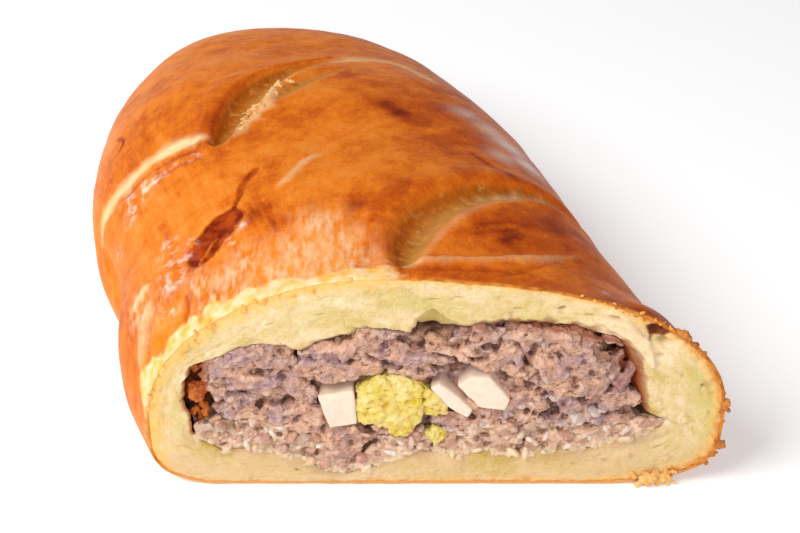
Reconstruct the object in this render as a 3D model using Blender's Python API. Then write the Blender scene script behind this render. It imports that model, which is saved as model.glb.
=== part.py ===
# Half of a baked kulebyaka: a yeast-dough loaf cut across, filled with minced meat, rice and boiled egg.
# Lengths are in metres. Everything is drawn with the cut in the plane y = 0 and the loaf running back along +Y.
# The loaf_middle empty then moves it all, so that the origin is the middle of the base.

import math
import random

import bmesh
import bpy
import numpy as np
from mathutils import Vector, noise

# The loaf's outer form, read at stations back from the cut
LOAF_LENGTH = 0.205
STATIONS = (0.0, 0.022, 0.050, 0.090, 0.130, LOAF_LENGTH)
LEFT_FLANK = (-0.0765, -0.086, -0.0905, -0.1065, -0.1145, -0.126)
RIGHT_FLANK = (0.076, 0.0640, 0.0530, 0.0430, 0.0355, 0.019)
CROWN_HEIGHT = (0.068, 0.067, 0.068, 0.068, 0.066, 0.0625)
SIDE_HEIGHT = 0.023  # height of the widest line above the base
CROWN_SHIFT = -0.012  # the crown of the cut lies left of the middle
CROWN_REST = 0.35  # share of that shift that is left far from the cut
SHIFT_FADE = 0.060  # distance over which the crown moves towards the middle
TOP_POWER = 2.0  # 2 makes the top of a section elliptic
TOP_FULLER = 0.25  # how much squarer the top gets away from the cut
CUT_FULLER = 0.28  # and how much squarer it is at the cut's own edge, on the right
EDGE_FADE = 0.020
FOOT_POWER = (5.0, 4.0)  # squareness of the lower corners, left and right
FOOT_SINK = 1.06  # the corners are drawn a little past the base, so that the base is flat
END_POWER = 2.8  # squareness of the far end, seen from above
END_FOOT_POWER = 6.0  # the base stays flat nearly to the far end
LOBE_SWELL = 0.0012  # the dough swells between its slashes
LOBE_LENGTH = 0.078
RINGS = 28
RING_POINTS = 72

# The space inside the dough, at the cut
CAVITY_MIDDLE = -0.006
CAVITY_HALF_WIDTH = 0.0605
CAVITY_SIDE_HEIGHT = 0.030
ROOF_RISE = 0.022
ROOF_TILT = 0.12  # the roof is higher on the right
ROOF_POWERS = (3.5, 2.2)  # a flat top with rounded corners
FLOOR_DROP = 0.0203
FLOOR_POWERS = (8, 3)
CAVITY_DEPTH = 0.186
ROOF_NOTCH = (-0.0012, 0.0050, 0.0055, 0.014)  # place across, half width, height and depth back from the cut
RAGGED = 0.0006  # unevenness of the dough's inner wall
CAVITY_COLUMNS = 22  # points across the roof, and as many across the floor
CAVITY_STATIONS = (0.0, 0.010, 0.022, 0.045, 0.080, 0.115, 0.145, 0.165, 0.180, CAVITY_DEPTH)

# The filling
GAP = 0.0004  # clearance between neighbouring pieces
LAYER_LINE = 0.0195  # height where meat lies on rice
LAYER_WAVE = 0.0012
MEAT_DIP = (-0.0250, 0.0075, 0.0085)  # where meat sinks into the rice: place, half width, how far
DIP_LENGTH = 0.050  # how far back that goes
DIP_SPREAD = 1.6  # the dough under it sinks over a wider stretch
FLOOR_DIP = 0.4  # and by less
FILLING_DEPTH = 0.180
LAYER_REACH = {"meat": 1, "rice": 2}  # columns of the cavity left free at each side
CORE_RECESS = {"meat": 0.0035, "rice": 0.0022}  # the pieces at the cut stand in front of the core
CORE_INSET = 0.0002
FRONT_ROOM = 0.0040  # the pieces at the cut reach at most this far in front of it
SEAT_GAP = 0.0007
CELLS_UP = {"meat": 5, "rice": 2}
CORE_BUMPS = 0.0004
FIRST_CELL = 0.015  # the cells at the cut reach back past this distance
# Hollows at the cut: place across, height, half width, half height and depth
HOLLOWS = (
    (-0.0640, 0.0290, 0.0052, 0.0125, 0.011),
    (-0.0010, 0.0500, 0.0055, 0.0050, 0.009),
    (0.0065, 0.0410, 0.0035, 0.0045, 0.006),
    (0.0470, 0.0410, 0.0040, 0.0095, 0.007),
)
# Minced meat in lumps: place across, height, half length, half height, slope in degrees and how far it stands out
MEAT_LUMPS = (
    (0.0305, 0.0405, 0.0135, 0.0095, -12, 0.0028),
    (-0.0470, 0.0375, 0.0115, 0.0062, 14, 0.0050),
    (-0.0300, 0.0385, 0.0085, 0.0058, 8, 0.0045),
    (-0.0150, 0.0450, 0.0085, 0.0042, 14, 0.0050),
    (-0.0030, 0.0415, 0.0095, 0.0032, -12, 0.0050),
    (-0.0200, 0.0375, 0.0075, 0.0032, 4, 0.0042),
    (0.0110, 0.0470, 0.0070, 0.0038, 6, 0.0045),
    (0.0175, 0.0395, 0.0080, 0.0045, -38, 0.0045),
    (0.0380, 0.0290, 0.0065, 0.0046, 10, 0.0055),
    (0.0480, 0.0320, 0.0040, 0.0070, 16, 0.0022),
    (0.0270, 0.0265, 0.0070, 0.0040, -10, 0.0038),
    (0.0420, 0.0245, 0.0075, 0.0036, 12, 0.0042),
    (-0.0545, 0.0290, 0.0062, 0.0046, 22, 0.0045),
    (-0.0405, 0.0275, 0.0085, 0.0052, -14, 0.0050),
    (-0.0340, 0.0225, 0.0045, 0.0040, 60, 0.0045),
    (-0.0250, 0.0130, 0.0055, 0.0040, 70, 0.0036),
    (-0.0100, 0.0385, 0.0050, 0.0024, 0, 0.0035),
    (-0.0570, 0.0350, 0.0040, 0.0034, 40, 0.0040),
    (-0.0480, 0.0240, 0.0055, 0.0030, -8, 0.0036),
    (0.0240, 0.0500, 0.0075, 0.0026, -4, 0.0040),
    (0.0155, 0.0305, 0.0040, 0.0045, 12, 0.0030),
    (0.0480, 0.0225, 0.0045, 0.0028, -20, 0.0036),
    (-0.0390, 0.0330, 0.0042, 0.0028, 20, 0.0045),
)
LUMP_NOISE = 0.22
LUMP_SINK = 0.0040  # how deep the lumps are set into the core

GRAIN_LENGTH = 0.0064
GRAIN_WIDTH = 0.0025
GRAIN_STEP = (0.0056, 0.0038)  # spacing of the grains across and up
GRAIN_DEPTH = 0.0014  # how far behind the cut the middle of a grain lies
GRAIN_SIDES = 5
GRAIN_PROFILE = ((-0.46, 0.45), (-0.2, 0.95), (0.2, 1.0), (0.46, 0.5))  # share of length, share of width
RICE_SEED = 3

# Boiled egg at the cut, as outlines of (across, height) in millimetres, with its depth and how far it stands out
EGG_PIECES = {
    "egg_white_left": (((-31.4, 30.6), (-22.4, 32.4), (-21.9, 21.6), (-28.0, 20.4)), 9.0, 1.2),
    "egg_yolk": (
        ((-21.2, 31.8), (-16.2, 35.4), (-9.7, 35.6), (-4.6, 33.4), (-3.6, 28.4), (-4.4, 23.0),
         (-9.4, 17.0), (-13.7, 21.0), (-20.6, 22.4)),
        11.0, 1.6,
    ),
    "egg_yolk_small": (((-3.7, 31.2), (-1.0, 30.4), (2.2, 27.6), (1.6, 24.2), (-2.8, 25.4)), 7.0, 0.8),
    "egg_white_strip": (((-2.0, 33.4), (0.6, 34.9), (4.2, 31.9), (9.4, 26.3), (8.0, 23.4), (3.4, 26.8)), 7.0, 1.4),
    "egg_white_right": (((4.9, 34.2), (8.6, 37.2), (13.8, 37.0), (19.2, 29.6), (17.8, 26.2), (11.0, 27.2)), 9.0, 1.4),
    "egg_yolk_crumb": (((-3.2, 17.8), (0.6, 19.4), (2.6, 16.8), (-0.8, 13.8)), 5.0, 1.0),
}
EGG_EDGE = 0.0005  # rounding of the egg's cut edges
YOLK_CRAG = 0.0007

# Grooves in the crust: a tilt in degrees, then points of (across, back, half width, depth) in millimetres.
# The two slashes are tilted, so that they are deepest under their far edge.
NEAR_SLASH = (16, ((-11, 10, 4.8, 2.6), (-7, 22, 6.6, 4.2), (0, 34.5, 7.0, 4.4), (7, 42, 6.8, 4.0),
                   (20.5, 54, 5.2, 3.0), (28.5, 59, 3.4, 2.0), (37, 63, 1.8, 1.0)))
FAR_SLASH = (16, ((-63, 80, 4.8, 2.8), (-58.5, 93, 6.8, 4.4), (-52, 110, 7.8, 4.2), (-43, 123, 7.8, 3.4),
                  (-35, 133, 6.2, 2.4), (-26, 141, 3.4, 1.2)))
SHOULDER_CRACK = (0, ((-64.5, 28, 2.0, 1.4), (-61, 34, 2.8, 2.2), (-56.5, 39, 2.6, 2.0), (-54.6, 47.5, 1.5, 1.4),
                      (-51, 58, 0.9, 0.9)))
FLANK_MARK = (0, ((-68, 78.5, 3.4, 0.9), (-78, 77, 3.6, 1.1), (-86, 75, 3.2, 1.0), (-93, 74, 2.4, 0.8),
                  (-98, 76, 1.4, 0.6)))
GROOVE_STEPS = 14
GROOVE_SIDES = 10
GROOVE_TIP = 0.0004

# A blister under the crust, and crumbs hanging on the cut edge: across, back, height and radius
BLISTER = (0.0572, 0.0008, 0.0478, 0.0021)
EDGE_CRUMBS = (
    (0.0640, 0.0010, 0.0500, 0.0017),
    (0.0755, 0.0006, 0.0130, 0.0020),
    (0.0748, 0.0008, 0.0275, 0.0014),
    (0.0585, -0.0008, 0.0024, 0.0021),
    (0.0545, -0.0010, 0.0021, 0.0018),
    (0.0625, 0.0002, 0.0034, 0.0018),
)

SLIVER = 2e-5  # edges shorter than this are closed up
SMOOTH_ANGLE = 35

SURFACES = {
    "crust": ((0.78, 0.24, 0.045), 0.38),
    "meat": ((0.52, 0.29, 0.21), 0.55),
    "rice": ((0.70, 0.46, 0.30), 0.45),
    "egg_white": ((0.90, 0.83, 0.67), 0.35),
    "yolk": ((0.88, 0.68, 0.15), 0.60),
}


def clear_scene():
    for item in list(bpy.data.objects):
        bpy.data.objects.remove(item)


def surface(name):
    colour, roughness = SURFACES[name]
    made = bpy.data.materials.get(name) or bpy.data.materials.new(name)
    made.use_nodes = True
    shader = made.node_tree.nodes["Principled BSDF"]
    shader.inputs["Base Color"].default_value = (*colour, 1.0)
    shader.inputs["Roughness"].default_value = roughness
    shader.inputs["Metallic"].default_value = 0.0
    return made


def add_object(name, bm, surface_name=None):
    bmesh.ops.recalc_face_normals(bm, faces=bm.faces)
    mesh = bpy.data.meshes.new(name)
    bm.to_mesh(mesh)
    bm.free()
    made = bpy.data.objects.new(name, mesh)
    bpy.context.scene.collection.objects.link(made)
    if surface_name:
        mesh.materials.append(surface(surface_name))
    return made


def curve(values, stations, at):
    """The value at one place, on a smooth curve through the values at the stations."""
    slopes = np.gradient(values, stations)
    i = min(max(int(np.searchsorted(stations, at)) - 1, 0), len(stations) - 2)
    span = stations[i + 1] - stations[i]
    t = min(max((at - stations[i]) / span, 0.0), 1.0)
    start = values[i] * (1 + 2 * t) * (1 - t) ** 2 + slopes[i] * span * t * (1 - t) ** 2
    end = values[i + 1] * t * t * (3 - 2 * t) - slopes[i + 1] * span * t * t * (1 - t)
    return float(start + end)


def along(values, y):
    return curve(values, STATIONS, y)


def closing(y, power):
    """How much of a section's size is left near the rounded far end."""
    t = min(max(y / LOAF_LENGTH, 0.0), 1.0)
    return (1 - t**power) ** (1 / power)


def section(y):
    """Left, right, middle and crown places across, crown height and the power of the top's curve."""
    left = along(LEFT_FLANK, y)
    right = along(RIGHT_FLANK, y)
    middle = (left + right) / 2
    near = max(0.0, 1 - y / SHIFT_FADE)
    crown = middle + CROWN_SHIFT * (CROWN_REST + (1 - CROWN_REST) * near)
    return left, right, middle, crown, along(CROWN_HEIGHT, y), TOP_POWER + TOP_FULLER * (1 - near)


def swell(y):
    return LOBE_SWELL * math.cos(2 * math.pi * (y - 0.5 * LOBE_LENGTH) / LOBE_LENGTH)


def body_point(turn, y):
    """A point of the loaf's skin: turn is 0 on the right, a quarter turn at the crown, a half on the left."""
    left, right, middle, crown, height, top_power = section(y)
    c, s = math.cos(turn), math.sin(turn)
    if s > 0:
        power = top_power + (CUT_FULLER * max(0.0, 1 - y / EDGE_FADE) if c > 0 else 0.0)
    else:
        power = FOOT_POWER[0] if c < 0 else FOOT_POWER[1]
    reach = (abs(c) ** power + abs(s) ** power) ** (-1 / power)
    half = right - crown if c > 0 else crown - left
    size = closing(y, END_POWER)
    x = crown + (middle - crown) * (1 - size) + half * c * reach * size
    if s > 0:
        z = SIDE_HEIGHT + (height + swell(y) * s - SIDE_HEIGHT) * s * reach * size
    else:
        z = SIDE_HEIGHT + SIDE_HEIGHT * FOOT_SINK * s * reach * closing(y, END_FOOT_POWER)
    return Vector((x, y, max(0.0, z)))


def skin_normal(turn, y):
    step = 1e-3
    around = body_point(turn + step, y) - body_point(turn - step, y)
    back = body_point(turn, y + step * 0.1) - body_point(turn, y - step * 0.1)
    return around.cross(back).normalized() * -1


def turn_at(x, y):
    """The turn round the loaf of the point of its top that lies above (x, y)."""
    low, high = 0.02, math.pi - 0.02
    for _ in range(40):
        mid = (low + high) / 2
        if body_point(mid, y).x > x:
            low = mid
        else:
            high = mid
    return (low + high) / 2


def loft(rings):
    """A closed body through rings of equal point counts, with both ends filled."""
    bm = bmesh.new()
    made = [[bm.verts.new(p) for p in ring] for ring in rings]
    count = len(made[0])
    for near, far in zip(made, made[1:]):
        for i in range(count):
            j = (i + 1) % count
            bm.faces.new((near[i], near[j], far[j], far[i]))
    bm.faces.new(made[0])
    bm.faces.new(reversed(made[-1]))
    return bm


def cut_away(target, cutter, operation="DIFFERENCE"):
    """Applies one Boolean to target, and removes the cutter."""
    change = target.modifiers.new("cut", "BOOLEAN")
    change.operation = operation
    change.solver = "EXACT"
    change.object = cutter
    bake(target)
    bpy.data.objects.remove(cutter)


def fuse(target, pieces):
    """One union of target with all the pieces, which are then removed."""
    group = bpy.data.collections.new("to_fuse")
    bpy.context.scene.collection.children.link(group)
    for piece in pieces:
        bpy.context.scene.collection.objects.unlink(piece)
        group.objects.link(piece)
    change = target.modifiers.new("fuse", "BOOLEAN")
    change.operation = "UNION"
    change.solver = "EXACT"
    change.operand_type = "COLLECTION"
    change.collection = group
    bake(target)
    for piece in pieces:
        bpy.data.objects.remove(piece)
    bpy.data.collections.remove(group)


def bake(target):
    """Turns the evaluated mesh into the object's own, and drops loose scraps and sliver edges."""
    shape = target.evaluated_get(bpy.context.evaluated_depsgraph_get())
    mesh = bpy.data.meshes.new_from_object(shape)
    target.modifiers.clear()
    target.data = mesh
    bm = bmesh.new()
    bm.from_mesh(mesh)
    bmesh.ops.triangulate(bm, faces=bm.faces)
    bmesh.ops.dissolve_degenerate(bm, dist=SLIVER, edges=bm.edges)
    bmesh.ops.triangulate(bm, faces=bm.faces)
    keep_largest(bm)
    bm.to_mesh(mesh)
    bm.free()


def keep_largest(bm):
    """Deletes all but the piece with the most vertices."""
    left = set(bm.verts)
    pieces = []
    while left:
        piece, edge = set(), [left.pop()]
        while edge:
            vert = edge.pop()
            piece.add(vert)
            for link in vert.link_edges:
                other = link.other_vert(vert)
                if other in left:
                    left.remove(other)
                    edge.append(other)
        pieces.append(piece)
    pieces.sort(key=len)
    for piece in pieces[:-1]:
        bmesh.ops.delete(bm, geom=list(piece), context="VERTS")


def loaf_body():
    rings = []
    for k in range(RINGS):
        y = LOAF_LENGTH * math.sin(math.pi / 2 * k / (RINGS - 0.35))
        rings.append([body_point(2 * math.pi * i / RING_POINTS, y) for i in range(RING_POINTS)])
    return add_object("dough", loft(rings), "crust")


def ridge(x, place, half_width):
    """A tent of height 1 and the given half width."""
    return max(0.0, 1 - abs(x - place) / half_width)


def ragged(x, y, side):
    """Small unevenness of the dough's inner wall."""
    wave = math.sin(310 * x + side) + 0.7 * math.sin(523 * x + 90 * y + 2 * side)
    return RAGGED * wave


def inside(x, z, y):
    """Moves a point of the cut back to distance y, with the loaf's lean and its rounded end."""
    middle = section(max(y, 0.0))[2]
    size = closing(y, END_POWER)
    return Vector((middle + x * size, y, CAVITY_SIDE_HEIGHT + (z - CAVITY_SIDE_HEIGHT) * size))


def column(i):
    """The place across of one of the cavity's columns of points, from left to right."""
    return CAVITY_MIDDLE - CAVITY_HALF_WIDTH * math.cos(math.pi * (i + 0.5) / CAVITY_COLUMNS)


def roof(x, y):
    across = min(abs((x - CAVITY_MIDDLE) / CAVITY_HALF_WIDTH), 1.0)
    rise = (ROOF_RISE + ROOF_TILT * x) * (1 - across ** ROOF_POWERS[0]) ** (1 / ROOF_POWERS[1])
    return CAVITY_SIDE_HEIGHT + rise + ragged(x, y, 0.0) * (1 - across**4)


def notched_roof(x, y):
    place, half_width, height, depth = ROOF_NOTCH
    return roof(x, y) + height * ridge(x, place, half_width) * max(0.0, 1 - max(y, 0.0) / depth)


def floor(x, y):
    across = min(abs((x - CAVITY_MIDDLE) / CAVITY_HALF_WIDTH), 1.0)
    drop = FLOOR_DROP * (1 - across ** FLOOR_POWERS[0]) ** (1 / FLOOR_POWERS[1])
    place, half_width, sink = MEAT_DIP
    dip = FLOOR_DIP * sink * math.sqrt(ridge(x, place, half_width * DIP_SPREAD))
    return CAVITY_SIDE_HEIGHT - drop - dip - ragged(x, y, 1.7) * (1 - across**4)


def cavity():
    """The space in the dough, drawn from in front of the cut to its rounded end."""
    columns = [column(i) for i in range(CAVITY_COLUMNS)]
    rings = []
    for y in (-2 * FRONT_ROOM, *CAVITY_STATIONS):
        ring = [inside(x, notched_roof(x, y), y) for x in columns]
        ring += [inside(x, floor(x, y), y) for x in reversed(columns)]
        rings.append(ring)
    return add_object("cavity", loft(rings))


def groove_tool(tilt, points):
    """A tool that follows points of the skin: a tilted ellipse across the way, closing at both ends."""
    spots = np.array(points)
    reach = np.concatenate(([0], np.cumsum(np.linalg.norm(np.diff(spots[:, :2], axis=0), axis=1))))
    steps = [reach[-1] * (0.5 - 0.5 * math.cos(math.pi * k / GROOVE_STEPS)) for k in range(GROOVE_STEPS + 1)]
    rows = [[curve(spots[:, i], reach, step) * 0.001 for i in range(4)] for step in steps]
    path = [Vector((x, y, 0)) for x, y, _, _ in rows]
    c, s = math.cos(math.radians(tilt)), math.sin(math.radians(tilt))
    rings = []
    for k, (x, y, half_width, depth) in enumerate(rows):
        turn = turn_at(x, y)
        point, normal = body_point(turn, y), skin_normal(turn, y)
        before, after = path[max(k - 1, 0)], path[min(k + 1, GROOVE_STEPS)]
        ahead = after - before
        ahead = (ahead - normal * ahead.dot(normal)).normalized()
        away = normal.cross(ahead)
        long_axis = away * c - normal * s
        short_axis = away * s + normal * c
        to_end = min(steps[k], reach[-1] - steps[k]) * 0.001 + GROOVE_TIP
        taper = math.sqrt(1 - max(0.0, 1 - to_end / half_width) ** 2)
        ring = []
        for i in range(GROOVE_SIDES):
            angle = 2 * math.pi * i / GROOVE_SIDES
            offset = long_axis * half_width * math.cos(angle) + short_axis * depth * math.sin(angle)
            ring.append(point + offset * taper)
        rings.append(ring)
    return add_object("groove", loft(rings))


def lump(name, centre, size, slope, roughness, seed, detail=1):
    """A craggy lump: a ball stretched to size (across, back, up), turned by slope in the cut's plane."""
    bm = bmesh.new()
    bmesh.ops.create_icosphere(bm, subdivisions=detail, radius=1.0)
    c, s = math.cos(slope), math.sin(slope)
    shift = Vector((seed * 3.7, seed * 1.3, 0.0))
    for vert in bm.verts:
        crag = 1 + roughness * noise.noise(vert.co * 1.7 + shift) * 2
        x, y, z = (vert.co[i] * size[i] * crag for i in range(3))
        vert.co = Vector((centre[0] + c * x - s * z, centre[1] + y, centre[2] + s * x + c * z))
    return add_object(name, bm)


def baked_dough():
    dough = loaf_body()
    for mark in (NEAR_SLASH, FAR_SLASH, SHOULDER_CRACK, FLANK_MARK):
        cut_away(dough, groove_tool(*mark))
    cut_away(dough, cavity())
    x, y, z, radius = BLISTER
    cut_away(dough, lump("blister", (x, y, z), (radius * 1.1, radius, radius * 0.9), -0.6, 0.15, 3))
    crumbs = []
    for k, (x, y, z, radius) in enumerate(EDGE_CRUMBS):
        crumbs.append(lump("crumb", (x, y, z), (radius, radius, radius * 0.8), 0.4 * k, 0.35, 11 + k))
    fuse(dough, crumbs)
    return dough


def layer_line(x, y):
    """Height of the line between the meat and the rice under it."""
    wave = LAYER_WAVE * (math.sin(95 * x + 25 * y) + 0.6 * math.sin(210 * x - 40 * y + 1.0))
    place, half_width, sink = MEAT_DIP
    near = max(0.0, 1 - y / DIP_LENGTH)
    return LAYER_LINE + wave - sink * near * math.sqrt(ridge(x, place, half_width))


def recess(layer, x, z):
    """Distance from the cut to the core of a layer."""
    deep = CORE_RECESS[layer] + CORE_BUMPS * (math.sin(900 * x) + math.sin(1300 * z + 700 * x))
    for place, height, half_width, half_height, depth in HOLLOWS:
        away = ((x - place) / half_width) ** 2 + ((z - height) / half_height) ** 2
        deep += depth * math.exp(-away)
    return deep


def layer_limits(layer, x, y, gap):
    """Lowest and highest point of a layer, in the plane of the cut."""
    line = layer_line(x, y)
    if layer == "meat":
        return max(line, floor(x, y)) + gap, roof(x, y) - gap
    return floor(x, y) + gap, min(line, roof(x, y)) - gap


def in_front(layer, x, z):
    return -FRONT_ROOM


def layer_box(layer, front, depth, gap):
    """A layer as a box of cells, each corner moved to its place in the cavity."""
    free = LAYER_REACH[layer]
    columns = [column(i) for i in range(free, CAVITY_COLUMNS - free)]
    columns[0] += gap
    columns[-1] -= gap
    backs = [0.0, *(y for y in CAVITY_STATIONS if FIRST_CELL < y < FILLING_DEPTH), depth]
    across, back, up = len(columns) - 1, len(backs) - 1, CELLS_UP[layer]
    bm = bmesh.new()
    verts = {}

    def corner(i, j, k):
        if (i, j, k) in verts:
            return verts[(i, j, k)]
        x = columns[i]
        low, high = layer_limits(layer, x, 0.0, gap)
        y = front(layer, x, low + (high - low) * k / up) if j == 0 else backs[j]
        low, high = layer_limits(layer, x, y, gap)
        verts[(i, j, k)] = bm.verts.new(inside(x, low + (high - low) * k / up, y))
        return verts[(i, j, k)]

    def face(*cell_corners):
        bm.faces.new([corner(*c) for c in cell_corners])

    for i in range(across):
        for k in range(up):
            for j in (0, back):
                face((i, j, k), (i + 1, j, k), (i + 1, j, k + 1), (i, j, k + 1))
    for i in range(across):
        for j in range(back):
            for k in (0, up):
                face((i, j, k), (i + 1, j, k), (i + 1, j + 1, k), (i, j + 1, k))
    for j in range(back):
        for k in range(up):
            for i in (0, across):
                face((i, j, k), (i, j + 1, k), (i, j + 1, k + 1), (i, j, k + 1))
    return add_object(layer, bm, layer)


def filled_layer(layer, pieces, eggs):
    """A layer's core fused with its pieces, held inside its share of the cavity, with seats for the egg."""
    made = layer_box(layer, recess, FILLING_DEPTH - GAP - CORE_INSET, GAP + CORE_INSET)
    fuse(made, pieces)
    room = layer_box(layer, in_front, FILLING_DEPTH - GAP, GAP)
    cut_away(made, room, "INTERSECT")
    for egg in eggs:
        cut_away(made, swollen_copy(egg, SEAT_GAP))
    return made


def egg_piece(name):
    """A piece of egg: its outline at the cut, run back, with its edges rounded. Yolk is craggy."""
    outline, depth, stands_out = EGG_PIECES[name]
    white = "white" in name
    middle = Vector((sum(p[0] for p in outline), 0, sum(p[1] for p in outline))) / len(outline)
    steps = 1 if white else 3
    rings = []
    for j in range(steps + 1):
        t = j / steps
        shrink = 1 - (0.12 if white else 0.34) * t
        y = -stands_out + (depth + stands_out) * t
        rings.append([
            Vector((middle.x + (p[0] - middle.x) * shrink, y, middle.z + (p[1] - middle.z) * shrink)) * 0.001
            for p in outline
        ])
    bm = loft(rings)
    bmesh.ops.recalc_face_normals(bm, faces=bm.faces)
    if white:
        bmesh.ops.bevel(bm, geom=bm.edges[:], offset=EGG_EDGE, segments=1, affect="EDGES", profile=0.5)
    else:
        bmesh.ops.triangulate(bm, faces=bm.faces)
        bmesh.ops.subdivide_edges(bm, edges=bm.edges[:], cuts=1, use_grid_fill=True)
        bm.normal_update()
        for vert in bm.verts:
            vert.co += vert.normal * YOLK_CRAG * (noise.noise(vert.co * 420) - 0.4)
    bmesh.ops.triangulate(bm, faces=bm.faces)
    return add_object(name, bm, "egg_white" if white else "yolk")


def swollen_copy(piece, by):
    """A copy of a piece with its skin moved outwards, to cut its seat."""
    bm = bmesh.new()
    bm.from_mesh(piece.data)
    bm.normal_update()
    for vert in bm.verts:
        vert.co += vert.normal * by
    return add_object(piece.name + "_seat", bm)


def meat_lumps():
    made = []
    for k, (x, z, half_length, half_height, slope, out) in enumerate(MEAT_LUMPS):
        centre = (x, LUMP_SINK - 0.45 * out, z)
        size = (half_length, out + LUMP_SINK, half_height)
        detail = 2 if k == 0 else 1  # the big lump comes first
        made.append(lump("lump", centre, size, math.radians(slope), LUMP_NOISE, k, detail))
    return made


def rice_grain(centre, direction, seed):
    """A boiled grain of rice: a spindle with blunt ends."""
    direction = direction.normalized()
    side = direction.cross(Vector((0.3, 0.9, 0.2))).normalized()
    other = direction.cross(side)
    rings = []
    for t, width in GRAIN_PROFILE:
        ring = []
        for i in range(GRAIN_SIDES):
            turn = 2 * math.pi * (i + 0.5 * (seed % 2)) / GRAIN_SIDES
            offset = (side * math.cos(turn) + other * math.sin(turn)) * GRAIN_WIDTH / 2 * width
            ring.append(centre + direction * GRAIN_LENGTH * t + offset)
        rings.append(ring)
    return add_object("grain", loft(rings))


def rice_grains():
    rng = random.Random(RICE_SEED)
    low_x, high_x = column(LAYER_REACH["rice"]), column(CAVITY_COLUMNS - 1 - LAYER_REACH["rice"])
    outlines = [Vector(p) * 0.001 for outline, _, _ in EGG_PIECES.values() for p in outline]
    made = []
    x = low_x + GRAIN_LENGTH * 0.7
    while x < high_x - GRAIN_LENGTH * 0.6:
        low, high = layer_limits("rice", x, 0.0, GAP)
        z = low + GRAIN_WIDTH * 0.6
        while z < high - GRAIN_WIDTH * 0.4:
            y = GRAIN_DEPTH + rng.uniform(-0.0007, 0.0006)
            spot = Vector((x + rng.uniform(-0.0014, 0.0014), y, z))
            tilt = rng.uniform(-0.9, 0.9)
            direction = Vector((math.cos(tilt), rng.uniform(-0.5, 0.5), math.sin(tilt)))
            if min((p - Vector((spot.x, spot.z))).length for p in outlines) > GRAIN_WIDTH:
                made.append(rice_grain(spot, direction, len(made)))
            z += GRAIN_STEP[1]
        x += GRAIN_STEP[0]
    return made


def centre_on_base(pieces):
    """Parents every piece to an empty that moves the middle of the base to the origin."""
    corners = [vert.co for piece in pieces for vert in piece.data.vertices]
    low = [min(c[i] for c in corners) for i in range(3)]
    high = [max(c[i] for c in corners) for i in range(3)]
    middle = bpy.data.objects.new("loaf_middle", None)
    bpy.context.scene.collection.objects.link(middle)
    middle.location = (-(low[0] + high[0]) / 2, -(low[1] + high[1]) / 2, -low[2])
    for piece in pieces:
        piece.parent = middle


def main():
    clear_scene()
    dough = baked_dough()
    eggs = [egg_piece(name) for name in EGG_PIECES]
    meat = filled_layer("meat", meat_lumps(), eggs)
    rice = filled_layer("rice", rice_grains(), eggs)
    for piece in (dough, meat, rice):
        piece.data.shade_smooth()
        piece.data.set_sharp_from_angle(angle=math.radians(SMOOTH_ANGLE))
    centre_on_base([dough, meat, rice, *eggs])


main()
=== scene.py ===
# Half of a baked meat and egg kulebyaka, cut across: the looks over its solid model.
# Every piece is drawn with the cut in the plane y = 0, as the solids are, and is then moved to the frame.
import math

import bmesh
import bpy
import numpy as np
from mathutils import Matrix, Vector, noise


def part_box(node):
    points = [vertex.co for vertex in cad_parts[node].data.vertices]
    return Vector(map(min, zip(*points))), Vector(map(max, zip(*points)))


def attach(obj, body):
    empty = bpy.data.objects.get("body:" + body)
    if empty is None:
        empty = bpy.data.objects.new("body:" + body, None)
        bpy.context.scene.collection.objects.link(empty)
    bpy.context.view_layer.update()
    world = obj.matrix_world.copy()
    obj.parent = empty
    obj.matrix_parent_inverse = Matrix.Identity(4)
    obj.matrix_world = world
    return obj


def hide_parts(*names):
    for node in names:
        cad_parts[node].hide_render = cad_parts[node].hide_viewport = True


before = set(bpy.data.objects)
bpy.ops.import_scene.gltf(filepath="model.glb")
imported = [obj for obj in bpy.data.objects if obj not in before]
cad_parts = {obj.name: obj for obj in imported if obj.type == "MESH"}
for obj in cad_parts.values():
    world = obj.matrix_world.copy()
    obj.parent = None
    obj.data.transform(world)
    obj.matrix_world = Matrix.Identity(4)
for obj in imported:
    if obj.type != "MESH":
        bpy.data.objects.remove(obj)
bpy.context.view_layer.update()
mm = 0.001

# The loaf's outer form, the same rules and values as its solid has
loaf = {
    "length": 0.205,
    "stations": (0.0, 0.022, 0.050, 0.090, 0.130, 0.205),  # distances back from the cut
    "leftFlank": (-0.0765, -0.086, -0.0905, -0.1065, -0.1145, -0.126),
    "rightFlank": (0.076, 0.0640, 0.0530, 0.0430, 0.0355, 0.019),
    "crownHeight": (0.068, 0.067, 0.068, 0.068, 0.066, 0.0625),
    "sideHeight": 0.023,
    "crownShift": -0.012,
    "crownRest": 0.35,
    "shiftFade": 0.060,
    "topPower": 2.0,
    "topFuller": 0.25,
    "cutFuller": 0.28,
    "edgeFade": 0.020,
    "footPower": (5.0, 4.0),
    "footSink": 1.06,
    "endPower": 2.8,
    "endFootPower": 6.0,
    "lobeSwell": 0.0012,
    "lobeLength": 0.078,
    "frontRoom": 0.004,  # how far the filling's solid stands in front of the cut
}


def smoothCurve(stations, values, at):
    stations = np.asarray(stations, float)
    values = np.asarray(values, float)
    at = np.clip(at, stations[0], stations[-1])
    slopes = np.gradient(values, stations)
    i = np.clip(np.searchsorted(stations, at) - 1, 0, len(stations) - 2)
    span = stations[i + 1] - stations[i]
    t = (at - stations[i]) / span
    start = values[i] * (1 + 2 * t) * (1 - t) ** 2 + slopes[i] * span * t * (1 - t) ** 2
    end = values[i + 1] * t * t * (3 - 2 * t) - slopes[i + 1] * span * t * t * (1 - t)
    return start + end


def smoothStep(low, high, at):
    t = np.clip((at - low) / (high - low), 0, 1)
    return t * t * (3 - 2 * t)


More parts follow.
